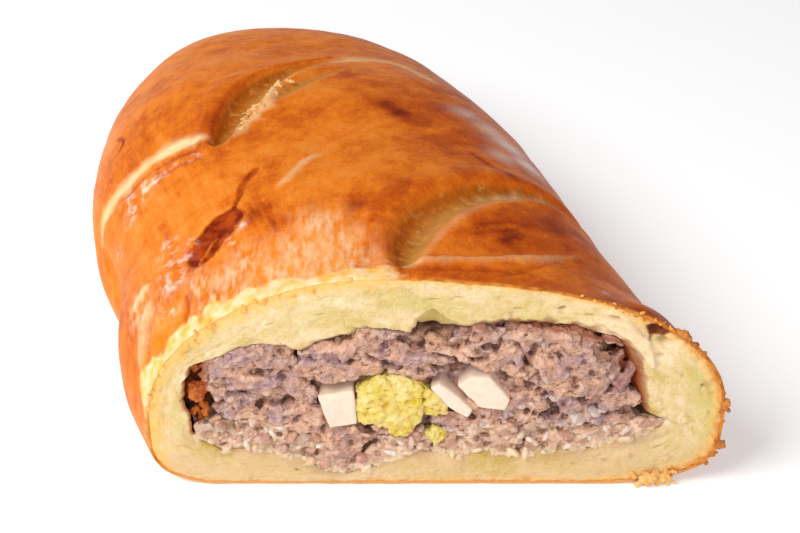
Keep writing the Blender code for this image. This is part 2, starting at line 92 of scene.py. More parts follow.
def softSpot(away):  # 1 in the middle, 0 where away is 1 or more
    return (1 - np.clip(np.abs(away), 0, 1) ** 2) ** 2


def closing(y, power):
    t = np.clip(y / loaf["length"], 0, 1)
    return (1 - t**power) ** (1 / power)


def flanks(y):
    return [smoothCurve(loaf["stations"], loaf[side], y) for side in ("leftFlank", "rightFlank")]


# Points of the loaf's skin: turn is 0 on the right, a quarter turn at the crown
def skinPoint(turn, y):
    turn, y = np.broadcast_arrays(np.asarray(turn, float), np.asarray(y, float))
    left, right = flanks(y)
    height = smoothCurve(loaf["stations"], loaf["crownHeight"], y)
    middle = (left + right) / 2
    near = np.maximum(0, 1 - y / loaf["shiftFade"])
    crown = middle + loaf["crownShift"] * (loaf["crownRest"] + (1 - loaf["crownRest"]) * near)
    c, s = np.cos(turn), np.sin(turn)
    fuller = np.where(c > 0, loaf["cutFuller"] * np.maximum(0, 1 - y / loaf["edgeFade"]), 0)
    topPower = loaf["topPower"] + loaf["topFuller"] * (1 - near) + fuller
    footPower = np.where(c < 0, loaf["footPower"][0], loaf["footPower"][1])
    power = np.where(s > 0, topPower, footPower)
    reach = (np.abs(c) ** power + np.abs(s) ** power) ** (-1 / power)
    half = np.where(c > 0, right - crown, crown - left)
    size = closing(y, loaf["endPower"])
    swell = loaf["lobeSwell"] * np.cos(2 * math.pi * (y / loaf["lobeLength"] - 0.5))
    side = loaf["sideHeight"]
    x = crown + (middle - crown) * (1 - size) + half * c * reach * size
    top = side + (height + swell * s - side) * s * reach * size
    foot = side + side * loaf["footSink"] * s * reach * closing(y, loaf["endFootPower"])
    return np.stack([x, y, np.maximum(np.where(s > 0, top, foot), 0)], -1)


def stepLengths(points):
    return np.linalg.norm(np.diff(points, axis=0), axis=1)


def runningTotal(steps):
    return np.concatenate([[0], np.cumsum(steps)])


# Places at even distances, where steps are the distances between the dense ones
def evenPlaces(dense, steps, count, endpoint=True):
    travelled = runningTotal(steps)
    return np.interp(np.linspace(0, travelled[-1], count, endpoint=endpoint), travelled, dense)


# Turns at even distances round the loaf, with wider steps under it
def evenTurns(count, underShare):
    dense = np.linspace(0, 2 * math.pi, 6001)
    ring = skinPoint(dense, 0.03)
    return evenPlaces(dense, stepLengths(ring) * np.where(ring[1:, 2] < 0.004, underShare, 1), count, False)


def unit(vectors):
    return vectors / np.maximum(np.linalg.norm(vectors, axis=-1, keepdims=True), 1e-12)


def ringNormals(rings):
    return unit(np.cross(np.gradient(rings, axis=0), np.roll(rings, -1, 1) - np.roll(rings, 1, 1)))


def noiseField(points, scale, shift=0.0, octaves=2):
    places = (np.asarray(points).reshape(-1, 3) * scale + shift).tolist()
    return np.array([noise.fractal(p, 1.0, 2.0, octaves) for p in places])


# Points of (across, back) in mm, put on top of the loaf
def skinPath(points):
    spots = np.array([p[:2] for p in points], float) * mm
    low = np.full(len(spots), 0.02)
    high = np.full(len(spots), math.pi - 0.02)
    for _ in range(30):
        mid = (low + high) / 2
        onRight = skinPoint(mid, spots[:, 1])[:, 0] > spots[:, 0]
        low, high = np.where(onRight, mid, low), np.where(onRight, high, mid)
    return skinPoint(low, spots[:, 1])


# Which points are in reach of a path, their share along it, their distance across (positive on the left)
# and the direction across
def follow(path, points, normals, reach, steps=80):
    travelled = runningTotal(stepLengths(path))
    at = np.linspace(0, travelled[-1], steps)
    line = np.stack([smoothCurve(travelled, path[:, i], at) for i in range(3)], 1)
    ahead = unit(np.gradient(line, axis=0))
    near = np.flatnonzero(((points > line.min(0) - reach) & (points < line.max(0) + reach)).all(1))
    closest = np.linalg.norm(points[near, None] - line[None], axis=2).argmin(1)
    off = points[near] - line[closest]
    forward = (off * ahead[closest]).sum(1)
    inner = (closest > 0) & (closest < steps - 1)
    off -= ahead[closest] * (forward * inner)[:, None]
    side = np.cross(normals[near], ahead[closest])
    across = np.sign((off * side).sum(1)) * np.linalg.norm(off, axis=1)
    return near, at[closest] / travelled[-1], across, side


# A soft round mark about a centre, with its radius in mm
def roundMark(points, centre, radius):
    away = np.linalg.norm(points - centre, axis=1) / (radius * mm)
    return np.exp(-away * away)


# The strongest of several round marks: each spot is a centre, a radius in mm and a strength
def largestSpots(points, spots):
    marked = np.zeros(len(points))
    for centre, radius, strength in spots:
        marked = np.maximum(marked, strength * roundMark(points, centre, radius))
    return marked


# A mesh through rings of equal point counts, closed at both ends, with its faces outwards
def closedTube(name, rings, masks=None):
    rings = np.asarray(rings)
    count, size = rings.shape[:2]
    points = np.concatenate([rings.reshape(-1, 3), rings[:1].mean(1), rings[-1:].mean(1)])
    k, i = np.meshgrid(np.arange(count - 1), np.arange(size), indexing="ij")
    j = (i + 1) % size
    quads = np.stack([k * size + i, k * size + j, (k + 1) * size + j, (k + 1) * size + i], -1).reshape(-1, 4)
    a, b, c, d = (points[quads[:, n]] for n in range(4))
    volume = ((np.cross(a, b) * c).sum() + (np.cross(a, c) * d).sum()) / 6
    around = np.arange(size)
    after = (around + 1) % size
    last = (count - 1) * size
    startCap = np.stack([after, around, np.full(size, count * size)], 1)
    endCap = np.stack([last + around, last + after, np.full(size, count * size + 1)], 1)
    faces = quads.tolist() + startCap.tolist() + endCap.tolist()
    if volume < 0:
        faces = [face[::-1] for face in faces]
    mesh = bpy.data.meshes.new(name)
    mesh.from_pydata(points.tolist(), [], faces)
    for mask, values in (masks or {}).items():
        values = np.asarray(values).reshape(count * size, -1)
        paint(mesh, mask, np.concatenate([values, values[:1], values[-1:]]))
    return addPiece(name, mesh)


def paint(mesh, mask, values):
    values = np.asarray(values, np.float32)
    isVector = values.ndim == 2 and values.shape[1] == 3
    made = mesh.attributes.new(mask, "FLOAT_VECTOR" if isVector else "FLOAT", "POINT")
    made.data.foreach_set("vector" if isVector else "value", values.reshape(-1))


def addObject(name, data):
    made = bpy.data.objects.new(name, data)
    bpy.context.scene.collection.objects.link(made)
    return made


def addPiece(name, mesh):
    mesh.shade_smooth()
    return addObject(name, mesh)


def fromBmesh(name, bm):
    mesh = bpy.data.meshes.new(name)
    bm.to_mesh(mesh)
    bm.free()
    return addPiece(name, mesh)


def evaluatedMesh(piece):  # with its modifiers applied
    mesh = bpy.data.meshes.new_from_object(piece.evaluated_get(bpy.context.evaluated_depsgraph_get()))
    piece.modifiers.clear()
    return mesh


def readPoints(mesh, what="co"):
    values = np.empty(len(mesh.vertices) * 3)
    mesh.vertices.foreach_get(what, values)
    return values.reshape(-1, 3)


def setPoints(mesh, points):
    mesh.vertices.foreach_set("co", points.reshape(-1))
    mesh.update()


# The crust: its lattice, its slashes and the marks on it, in mm as (across, back)
crust = {
    "pointsRound": 420,
    "underShare": 0.22,
    "rings": 196,
    "frontShare": 1.25,  # finer near the cut
    "farShare": 0.5,
    "rimThickness": (0.0009, 0.0007, 0.0011),  # under the loaf, on its left and on its right
    "wallDepth": 0.0068,  # the hidden wall lies deeper than the slashes
    "swellHeight": 0.0007,
    "wrinkleHeight": 0.00005,
    "foldHeight": 0.00022,
}
# Slashes: points of (across, back, half width, depth) in mm. The left side of each is the steeper one.
slashes = {
    "near": {"brow": 0.34, "overhang": 0.0, "dark": 0.05, "line": (
        (-8.4, 9.5, 4.4, 2.6), (-6.6, 20, 6.8, 4.2), (-1.2, 33, 7.8, 4.4), (8, 44, 7.2, 3.8),
        (16, 51, 6.8, 3.2), (24, 55.8, 6.2, 2.5), (33, 59.5, 4.8, 1.6), (44, 61, 3.2, 0.8))},
    "far": {"brow": 0.50, "overhang": 0.0006, "dark": 0.15, "line": (
        (-62.4, 79.5, 3.6, 3.0), (-59, 91, 6.4, 4.4), (-55.4, 105, 7.0, 4.2), (-50, 116, 6.2, 3.2),
        (-43, 127, 4.6, 1.8), (-33, 138, 3.0, 0.6))},
    "pocket": {"brow": 0.25, "overhang": 0.0, "dark": 0.06, "line": (
        (-46, 100, 2.4, 0.9), (-41, 110, 4.0, 1.9), (-35.4, 118, 3.8, 1.7), (-29, 125, 2.4, 0.6))},
}
# Marks: half width and height in mm, what each paints and its path
marks = (
    (5, -0.8, {"caramel": 1.1, "wobble": 0.35}, (
        (-64.4, 21), (-63, 23.5), (-61.3, 26.6), (-59.3, 29.8), (-57.1, 33.4), (-55.4, 36.6), (-54.6, 39))),
    (0.6, 0.8, {"caramel": -0.6}, ((-62.6, 21), (-60.6, 25), (-58.8, 28.6))),
    (1.2, -0.4, {"caramel": 0.4}, ((-60.6, 36.6), (-62.8, 32), (-64.4, 27.4))),
    (6.6, -1, {}, ((-100, 82), (-98, 72), (-95, 60), (-91.5, 48), (-88, 38))),
    (5, -1.6, {}, ((-98.4, 74), (-96.2, 64.1), (-94, 57), (-92.2, 51), (-90.6, 45))),
    (5, 0.9, {}, ((50, 3), (56, 9), (60, 14))),
    (1.1, -0.4, {"caramel": 0.8, "wobble": 0.7}, ((-54.8, 38), (-53.8, 43.7), (-52.9, 50), (-51, 56.5))),
    (1.8, -0.2, {"brown": 0.3, "wobble": 0.6}, ((-52.4, 52), (-51.2, 55), (-49.4, 58))),
    (2.4, -0.2, {"brown": 0.16, "wobble": 0.6}, ((-58.5, 40), (-56, 44), (-54.6, 48))),
    (2.8, -0.5, {"pale": 0.86, "wobble": 0.45}, (
        (-66.1, 81.6), (-71.9, 81.4), (-77.9, 80.2), (-83.7, 78.6), (-89.7, 76.8), (-95.5, 76.8),
        (-100, 78))),
    (3.4, -0.1, {"pale": 0.5}, ((-66.4, 80.6), (-70, 81.6), (-75, 82), (-81, 81))),
    (1, -0.8, {"brown": 0.2}, ((-66.5, 76), (-73, 75.8), (-78.7, 74.6), (-84.7, 73.4), (-90.5, 71.8))),
    (0.9, -0.5, {"brown": 0.15}, ((-66, 71.2), (-73, 70.5), (-80, 69))),
    (1.8, 0.5, {"pale": 0.75}, ((-76.8, 25.7), (-79, 25.2), (-81.5, 23))),
    (2.4, 0.7, {"pale": 0.45}, ((-75.6, 20), (-76.8, 16.6), (-77.6, 11), (-77.2, 5))),
    (1.1, -1.1, {"brown": 0.25}, ((-65, 15), (-65.2, 10), (-66, 3))),
    (2.2, 0.9, {}, ((-69.5, 26), (-70.5, 19), (-73, 12), (-74, 4))),
    (1, -0.9, {"brown": 0.15}, ((-72.6, 22), (-74.5, 15), (-76.4, 7))),
    (1.5, 0.9, {"pale": 0.27, "wobble": 0.8}, (
        (-17.3, 6.1), (-5.9, 9), (0.2, 9.6), (18.7, 14.6), (25.5, 17.7), (38.4, 27.5))),
    (1.4, -0.8, {"brown": 0.1}, ((18.1, 5.9), (23.7, 11.9), (28, 17.5), (35.5, 25))),
    (1.5, -0.5, {"brown": 0.12}, ((-2, 5.4), (8, 7.2), (18, 8.5))),
    (3.4, -0.3, {"pale": 0.34}, ((12, 47), (19, 51.5), (27, 56.4), (35, 59), (43, 58.5), (50, 55))),
    (2.2, 0.5, {}, ((22, 47), (30, 51.5), (38, 53.5), (46, 52))),
    (3.4, -0.5, {"pale": 0.5}, ((-31.8, 133.8), (-22.6, 141.4), (-13, 145.4), (-4.9, 140), (1.5, 128))),
    (1.5, 0.35, {"pale": 0.42}, ((-43, 44.5), (-40.3, 48.8), (-38, 54.1), (-35.7, 58.5), (-32, 63.5))),
    (2, 0.5, {"pale": 0.5, "wobble": 1.2}, (
        (-57.6, 78.5), (-53.4, 86), (-50, 94), (-48.2, 103), (-48.2, 110))),
    (0.7, -0.3, {"brown": 0.4}, ((-96.9, 108.5), (-93.6, 99), (-94.8, 96.5))),
    (1.5, -0.2, {"brown": 0.2}, ((10.3, 74.6), (14.4, 70.2), (18.6, 66.7), (24, 62.5))),
    (1.2, 0.35, {"brown": -0.05}, ((-56, 43.9), (-52.5, 51.8), (-48, 58), (-40.7, 64.7))),
    (1, -0.35, {"brown": 0.12}, ((8, 24), (14, 27), (22, 31))),
    (1, -0.3, {"brown": 0.1}, ((10, 29), (17, 32), (24, 36))),
    (1.1, 0.3, {"brown": 0.1}, ((14, 21.5), (21, 26), (28, 31))),
)
# Soft patches of darker or lighter baking: across, back, radius in mm and how much
patches = (
    (-14, 95.5, 4.5, 0.14), (-9.6, 93, 3.6, 0.18), (-4, 89, 4, 0.16), (-20, 92, 5, 0.06),
    (-21, 62.5, 5.5, 0.1), (-10, 58.5, 4.5, 0.09), (17, 28.5, 8, 0.24), (21, 33, 6, 0.18),
    (34, 40, 9, 0.1), (-19, 30, 8, 0.12), (-23, 35, 7, 0.08), (-28, 30, 6, 0.05), (-45, 31, 5, 0.19),
    (-47.5, 36, 4.5, 0.18), (-41, 27, 3.5, 0.15), (-37, 36, 6, 0.05), (-37, 10, 11, -0.14),
    (-30, 22, 9, -0.1), (-25, 16, 7, -0.1), (-76, 45, 16, -0.02), (-88, 110, 20, 0.03), (10, 80, 16, 0.1),
    (32, 42, 12, 0.08), (-50, 66, 9, -0.05), (-8, 47, 7, 0.1), (6, 112, 16, 0.1), (-72, 10, 9, -0.1),
    (-82, 92, 14, 0.05), (-40, 88, 9, 0.03), (-17, 104, 11, 0.09), (-27, 119, 9, 0.07), (2, 6, 7, 0.08),
    (14, 7, 7, 0.08),
)
# Dry, finely wrinkled places, places with a wet shine (more coat and painted highlights) and a satin sheen
# (more coat and a painted sheen): across, back and radius in mm
drySpots = (
    (-41, 8, 8), (-36, 15, 8), (-31, 24, 7), (-30, 8, 8), (-49, 3, 7), (-25, 17, 7), (-22, 9, 7),
    (-80, 22, 6), (-77, 16, 6), (-54, 12, 6), (-58, 7, 6), (-49, 16, 6), (-62, 14, 5),
)
glossAndGlintSpots = (
    (-73, 36, 3), (-72.5, 31, 3.2), (-72, 26, 3.2), (-71, 19, 3.2), (-67.5, 27, 2.6), (-68, 20, 2.6),
    (-70, 12, 3), (-67, 24, 1.8), (-88, 69.5, 3), (-83.5, 68.5, 4), (-86.5, 63.5, 3.2), (-79.5, 69, 3.2),
    (-74, 72.4, 2.2), (-69, 73, 2), (-90, 58, 2.4), (-65.4, 31, 1.6), (43, 8.5, 1.2), (51, 10, 1.6),
    (-54, 25, 1.8), (-51.5, 30, 1.5),
)
satinAndPaintedSheenSpots = (
    (22, 92, 7), (27, 84, 6), (17, 100, 6), (10, 106, 5), (20, 80, 5),
)
# Places of the hidden rings, back from the cut
hiddenPlaces = np.array([0.004, 0.008, 0.013, 0.03, 0.06, 0.1, 0.14, 0.17, 0.188])
# The dough was folded in arcs, one behind the other, and its streaks and slashes follow them
lobes = {
    "centre": (0.058, -0.005),
    "step": (-0.055, 0.085),
    "radius": 0.071,
    "straightShare": 0.95,  # past this share of the radius the arcs run straight
}


def lobeFlow(points):  # distances along and across the arcs
    radius = lobes["radius"]
    ahead = np.array(lobes["step"]) / np.linalg.norm(lobes["step"])
    away = points[:, :2] - lobes["centre"]
    forward = away @ ahead
    aside = away[:, 0] * ahead[1] - away[:, 1] * ahead[0]
    edge = lobes["straightShare"] * radius
    held = np.clip(aside, -edge, edge)
    slope = edge / math.sqrt(radius**2 - edge**2)
    across = forward - np.sqrt(radius**2 - held**2) + slope * (np.abs(aside) - np.abs(held))
    along = radius * np.arcsin(held / radius) + slope * (aside - held)
    return np.stack([along, across, points[:, 2] * 0.5], 1)


# The wall between crust and crumb, out of sight behind the cut
def hiddenWall(turns, extra):
    rings = skinPoint(turns[None], hiddenPlaces[:, None])
    top = smoothStep(0.006, 0.022, rings[..., 2])
    deep = 0.0016 + (crust["wallDepth"] - 0.0016) * top * smoothStep(0.001, 0.013, rings[..., 1])
    return rings - ringNormals(rings) * (deep + extra)[..., None]


# 1 where the lip over the cut is pale, from its left foot to near the middle
def lipShare(points):
    low = 0.5 * smoothStep(0.003, 0.012, points[:, 2]) + 0.5 * smoothStep(0.020, 0.034, points[:, 2])
    return smoothStep(0.004, -0.022, points[:, 0]) * low


def cutSlash(slash, points, normals, lift, shift, masks):
    line = np.array(slash["line"], float)
    near, along, across, side = follow(skinPath(line), points, normals, 0.020)
    share = np.linspace(0, 1, len(line))
    depth = np.interp(along, share, line[:, 3]) * mm
    u = across / (np.interp(along, share, line[:, 2]) * mm)
    steep = 1 - smoothStep(slash["brow"], 1.10, np.abs(u))
    gentle = 1 - smoothStep(0.05, 1.10, np.abs(u))
    cut = np.where(u > 0, steep, gentle)
    strength = np.minimum(1, depth / 0.003)
    lip = softSpot((u - 1.5) / 0.75) * strength
    lift[near] -= depth * cut
    lift[near] += 0.0006 * lip
    shift[near] -= side * (slash["overhang"] * softSpot((u - 1.05) / 0.45) * strength)[:, None]
    floor = np.where(u > 0, smoothStep(0.2, 0.8, steep), smoothStep(0.12, 0.70, cut))
    floor *= np.minimum(1, depth / 0.0024)
    for name, values in (("floor", floor), ("light", smoothStep(0.55, -0.55, u))):
        masks[name][near] = np.maximum(masks[name][near], values)
    masks["brown"][near] += slash["dark"] * softSpot((u - 1.0) / 0.24) + 0.06 * lip
    masks["pale"][near] += 0.22 * softSpot((u + 0.86) / 0.36) * strength


# Height, sideways shift and painted masks at every point of the skin
def crustFields(points, normals):
    masks = {name: np.zeros(len(points)) for name in ("brown", "pale", "floor", "light", "caramel")}
    shift = np.zeros((len(points), 3))
    top = smoothStep(0.003, 0.014, points[:, 2])
    flow = lobeFlow(points)
    lift = crust["swellHeight"] * noiseField(points, 26, 3.0) * top
    lift += crust["wrinkleHeight"] * noiseField(flow * (0.5, 1, 0.8), 420, 7.0, 3) * top
    lift += crust["foldHeight"] * noiseField(flow * (0.35, 1, 0.6), 110, 2.0, 2) * top
    for slash in slashes.values():
        cutSlash(slash, points, normals, lift, shift, masks)
    for width, height, paints, path in marks:
        near, along, across, _ = follow(skinPath(path), points, normals, 0.008)
        taper = np.minimum(1, np.minimum(along, 1 - along) / 0.22)
        wobble = 1 + paints.get("wobble", 0.2) * noiseField(points[near], 260, width, 2)
        half = width * mm * (0.35 + 0.65 * np.sqrt(taper)) * wobble
        spot = softSpot(across / (half * 1.5)) * np.minimum(1, taper + 0.3)
        lift[near] += height * mm * spot
        for name in masks:
            edged = smoothStep(0.12, 0.42, spot) if name == "caramel" else spot
            masks[name][near] += paints.get(name, 0) * edged
    lift += 0.0005 * noiseField(points, 330, 4.0, 2) * masks["floor"]
    uneven = 1 + 1.1 * noiseField(flow * (0.5, 1, 0.7), 170, 5.0, 2)
    for centre, (_, _, radius, amount) in zip(skinPath(patches), patches):
        masks["brown"] += amount * roundMark(points, centre, radius) * uneven
    toRight = smoothStep(-0.02, 0.06, points[:, 0] + 0.25 * points[:, 1])
    masks["brown"] += 0.11 * toRight * smoothStep(0.02, 0.05, points[:, 2])
    masks["brown"] += 0.15 * smoothStep(0.010, 0.002, points[:, 1]) * smoothStep(-0.03, 0.0, points[:, 0])
    fromCut = points[:, 1] + 0.0036 * noiseField(points, 150, 6.0, 2)
    masks["lip"] = smoothStep(0.0074, 0.0012, fromCut) * lipShare(points)
    masks["base"] = 1 - smoothStep(0.0015, 0.009, points[:, 2])
    for name, spots in (("dry", drySpots), ("glossAndGlint", glossAndGlintSpots), ("satinAndPaintedSheen", satinAndPaintedSheenSpots)):
        radii = [spot[2] for spot in spots]
        masks[name] = largestSpots(points, zip(skinPath(spots), radii, [1] * len(spots)))
    return lift, shift, masks, flow


def rimThickness(edge):  # how thick the brown rim looks at the cut
    under, left, right = crust["rimThickness"]
    toRight = smoothStep(0.035, 0.062, edge[:, 0])
    high = smoothStep(0.004, 0.014, edge[:, 2])
    thick = under + (left - under + (right - left) * toRight) * high
    return thick * (1 + 0.35 * noiseField(edge, 210, 2.0))


def crustPiece():
    turns = evenTurns(crust["pointsRound"], crust["underShare"])
    dense = np.linspace(0, loaf["length"] * 0.99985, 4001)
    steps = np.hypot(np.diff(dense), np.diff(0.085 * closing(dense, loaf["endPower"])))
    back = dense[1:]
    steps *= np.where(back < 0.07, crust["frontShare"], np.where(back < 0.152, 1, crust["farShare"]))
    rings = skinPoint(turns[None], evenPlaces(dense, steps, crust["rings"])[:, None])
    normals = ringNormals(rings)
    lift, shift, masks, flow = crustFields(rings.reshape(-1, 3), normals.reshape(-1, 3))
    size = rings.shape[:2]
    outer = rings + normals * lift.reshape(size)[..., None] + shift.reshape(rings.shape)
    outer[..., 2] = np.maximum(outer[..., 2], 0)
    inPlane = unit(normals[0] * (1, 0, 1))
    edge = outer[0] * (1, 0, 1)
    thickness = rimThickness(edge)
    roughness = 0.00025 * noiseField(edge, 700, 5.0)
    outer[0, :, 1] = 0.0007
    outer[0] = outer[0] - inPlane * 0.0001
    rim = []
    for share, y in ((1.25, 0.0016), (1.0, 0.0004), (0.85, 0.0), (0.5, -0.0001), (0.18, 0.0)):
        ring = edge - inPlane * (thickness * share)[:, None]
        ring[:, 1] = y + roughness * (1 if share < 1 else 0)
        rim.append(ring)
    hidden = np.concatenate([hiddenWall(turns, 0.0)[::-1], rim])
    masks["flow"] = flow
    painted = {}
    for name, values in masks.items():
        values = values.reshape(*size, -1)
        painted[name] = np.concatenate([np.repeat(values[:1], len(hidden), 0), values])
    painted["rim"] = np.zeros((len(hidden) + size[0], size[1]))
    painted["rim"][:len(hidden)] = 1
    painted["rim"][len(hidden)] = 0.5
    return closedTube("crust", np.concatenate([hidden, outer]), painted), turns, edge, inPlane


# The cut crumb: the edge of the space inside it, as seen in the cut, left to right in mm (across, height)
roofLine = (
    (-66.7, 28.5), (-65.3, 35.1), (-63.6, 39.6), (-58, 41.5), (-49.5, 45.6), (-43.6, 46.5), (-37.7, 45.3),
    (-35, 43.1), (-31.3, 46.8), (-22.8, 49), (-18.4, 51.2), (-13.3, 50.3), (-6.9, 49.4), (-4.7, 53.7),
    (-1.1, 56.8), (3, 53.4), (6.8, 51.6), (18, 53.1), (26, 52.8), (34, 51.8), (39, 49.9), (43.1, 49),
    (47.9, 46.8), (50.5, 42.4), (53.4, 36.7), (54.6, 29),
)
floorLine = (
    (-66.7, 28.5), (-65, 23.9), (-64.6, 17.9), (-61.4, 14.2), (-56.8, 11.1), (-48.2, 12.5), (-42.6, 10.4),
    (-34.2, 8), (-30.8, 5), (-23.5, 3.9), (-16, 6.5), (-9.2, 9.4), (-4.4, 11.1), (5.2, 10.4),
    (14.6, 11.1), (21.8, 10.1), (29, 11.1), (38.6, 11.8), (45.4, 14.2), (54.8, 16.5), (59.8, 19.4),
    (60.6, 22.6), (56.5, 24), (54.6, 29),
)
crumb = {
    "pointsRound": 700,
    "rings": 62,
    "pores": 300,
    "poreLength": (0.3, 1.2),  # half lengths in mm
    "poreWidth": (0.14, 0.32),
    "poreDepth": (0.08, 0.26),
    "swirl": 0.30,  # how much its grain is drawn out along the rim
    "roughness": 0.00016,
    "seed": 12,
}
# Larger pores and pits: across, height, half length, half width, depth in mm and slope in degrees
pits = (
    (55.6, 51, 3, 2.1, 2.4, -20), (31.2, 57.6, 1.5, 0.7, 1.6, 8), (57.6, 47.6, 2.6, 1.7, 1.9, -30),
    (57, 42.9, 1.9, 1.3, 0.6, -10), (69, 33.2, 1, 0.7, 0.9, 60), (-37.6, 5, 0.8, 0.45, 1, 0),
    (-1.6, 60.2, 2.6, 0.5, 0.7, 5), (45, 54.8, 2.6, 0.45, 0.9, -14), (38.5, 55.6, 1.6, 0.35, 0.8, -8),
    (20, 57.5, 2.4, 0.4, 0.6, 4), (5, 60.9, 2.6, 0.4, 0.5, -6), (-30, 55.7, 2.3, 0.35, 0.5, 12),
    (-43, 52.6, 2.3, 0.4, 0.5, 20), (63.5, 36.5, 1.2, 0.6, 0.6, 70), (71.5, 24, 1.6, 0.5, 0.6, 80),
    (66, 20.5, 3.4, 0.45, 0.5, 30), (59, 13, 3, 0.4, 0.5, 25), (-66, 12.5, 2.6, 0.4, 0.5, -35),
    (-71.2, 20.5, 2.4, 0.45, 0.5, 85),
)
# Juice that has soaked into the crumb: across, height, radius in mm and strength
stains = (
    (62, 30, 8, 0.34), (66, 20, 6, 0.26), (28, 57.5, 5, 0.16), (-20, 57, 8, 0.1), (-60, 42, 6, 0.12),
    (14.5, 8.4, 6.5, 0.9), (18, 6.4, 3.5, 0.6), (-59.5, 13.5, 4.2, 0.8), (-56.5, 10.6, 2.6, 0.7),
    (57, 23, 3, 0.7), (-64, 20, 3.2, 0.6), (-8, 8.4, 5, 0.3), (30, 9, 4, 0.35), (-36, 6.2, 3.5, 0.3),
)
# Brown spots, drips and burnt places on the cut dough: across, height, radius in mm and strength
wetSpots = (
    (56.2, 50.8, 4, 0.7), (54.6, 26.4, 1.6, 0.45), (56.2, 22.8, 1.5, 0.35), (59.6, 22, 1.8, 0.22),
    (44.7, 8.4, 1.1, 0.45), (49.9, 18.6, 0.9, 0.35), (66, 30.2, 0.8, 0.4), (70.9, 20.2, 0.9, 0.4),
    (67.6, 21.6, 0.8, 0.3), (52, 9.4, 1.4, 0.5), (69.8, 33.6, 1.6, 0.45), (71.4, 30.6, 1.2, 0.35),
    (62.4, 9, 0.8, 0.3), (-37.6, 5, 1, 0.5), (36.4, 7.4, 0.8, 0.4), (-52, 7, 0.8, 0.3),
)
burntSpots = (
    (55.6, 51, 3, 1), (57.6, 50, 2.2, 0.9),
)
# A thin fold of dough over the hollow at the right: across, height and half width in mm
foldPath = (
    (40.4, 54.6, 0.9), (43.2, 53.6, 1.7), (46.4, 51.8, 2.1), (49.6, 49.6, 2.1), (52.2, 46.8, 1.8),
    (54.2, 43.4, 1.4), (55.4, 40, 0.9),
)


# Share of the way through each quarter of a closed outline, from 0 to 4, for points in order
def quarterShares(points, corners):
    travelled = runningTotal(stepLengths(np.concatenate([points, points[:1]])))
    cornersAt = travelled[list(corners) + [len(points)]]
    return np.interp(travelled[:-1], cornersAt, np.arange(len(cornersAt)))


# Points of the cavity's edge at shares from 0 to 4, starting on the right and going over the top
def cavityOutline(shares):
    outline = np.array(roofLine[::-1] + floorLine[1:-1] + roofLine[-1:], float)
    travelled = runningTotal(stepLengths(outline))
    at = np.linspace(0, travelled[-1], 2400, endpoint=False)
    dense = np.stack([np.interp(at, travelled, outline[:, i]) for i in range(2)], 1)
    for _ in range(9):  # rounds the corners a little
        dense = (np.roll(dense, 1, 0) + dense * 2 + np.roll(dense, -1, 0)) / 4
    quarters = ((-1.1, 56.8), (-66.7, 28.5), (-4.4, 11.1))
    corners = [0] + [int(np.linalg.norm(dense - place, axis=1).argmin()) for place in quarters]
    own = np.append(quarterShares(dense, corners), 4)
    return np.stack([np.interp(shares, own, np.append(dense[:, i], dense[0, i])) for i in range(2)], 1) * mm


# Moves points of the cut back to distance y, with the loaf's lean and its rounded end
def leaned(points, y):
    left, right = flanks(y)
    size = closing(y, loaf["endPower"])
    rest = 0.030
    x = (left + right) / 2 + points[:, 0] * size
    return np.stack([x, np.full(len(points), y), rest + (points[:, 1] - rest) * size], 1)


# Depth of the pores in the cut face, and their darkness, which is painted shade
def poreFields(draw, flat, slope, deep, poreShadeAndStreak):
    spots = []
    for k in draw.integers(0, len(flat), crumb["pores"]):
        length, width = draw.uniform(*crumb["poreLength"]), draw.uniform(*crumb["poreWidth"])
        depth = draw.uniform(*crumb["poreDepth"])
        tilt = slope[k] + draw.normal(0, 0.22)
        spots.append((flat[k, 0], flat[k, 2], length, width, depth * width / 0.3, tilt))
    for x, z, length, width, depth, tilt in pits:
        spots.append((x * mm, z * mm, length, width, depth, math.radians(tilt)))
    for x, z, length, width, depth, tilt in spots:
        dx, dz = flat[:, 0] - x, flat[:, 2] - z
        near = np.flatnonzero((np.abs(dx) < 0.005) & (np.abs(dz) < 0.005))
        c, s = math.cos(tilt), math.sin(tilt)
        u = (dx[near] * c + dz[near] * s) / (length * mm)
        v = (-dx[near] * s + dz[near] * c) / (width * mm)
        hole = softSpot(np.hypot(u, v))
        deep[near] = np.maximum(deep[near], depth * mm * hole)
        poreShadeAndStreak[near] = np.maximum(poreShadeAndStreak[near], hole * min(1.0, 0.25 + depth * 0.7))


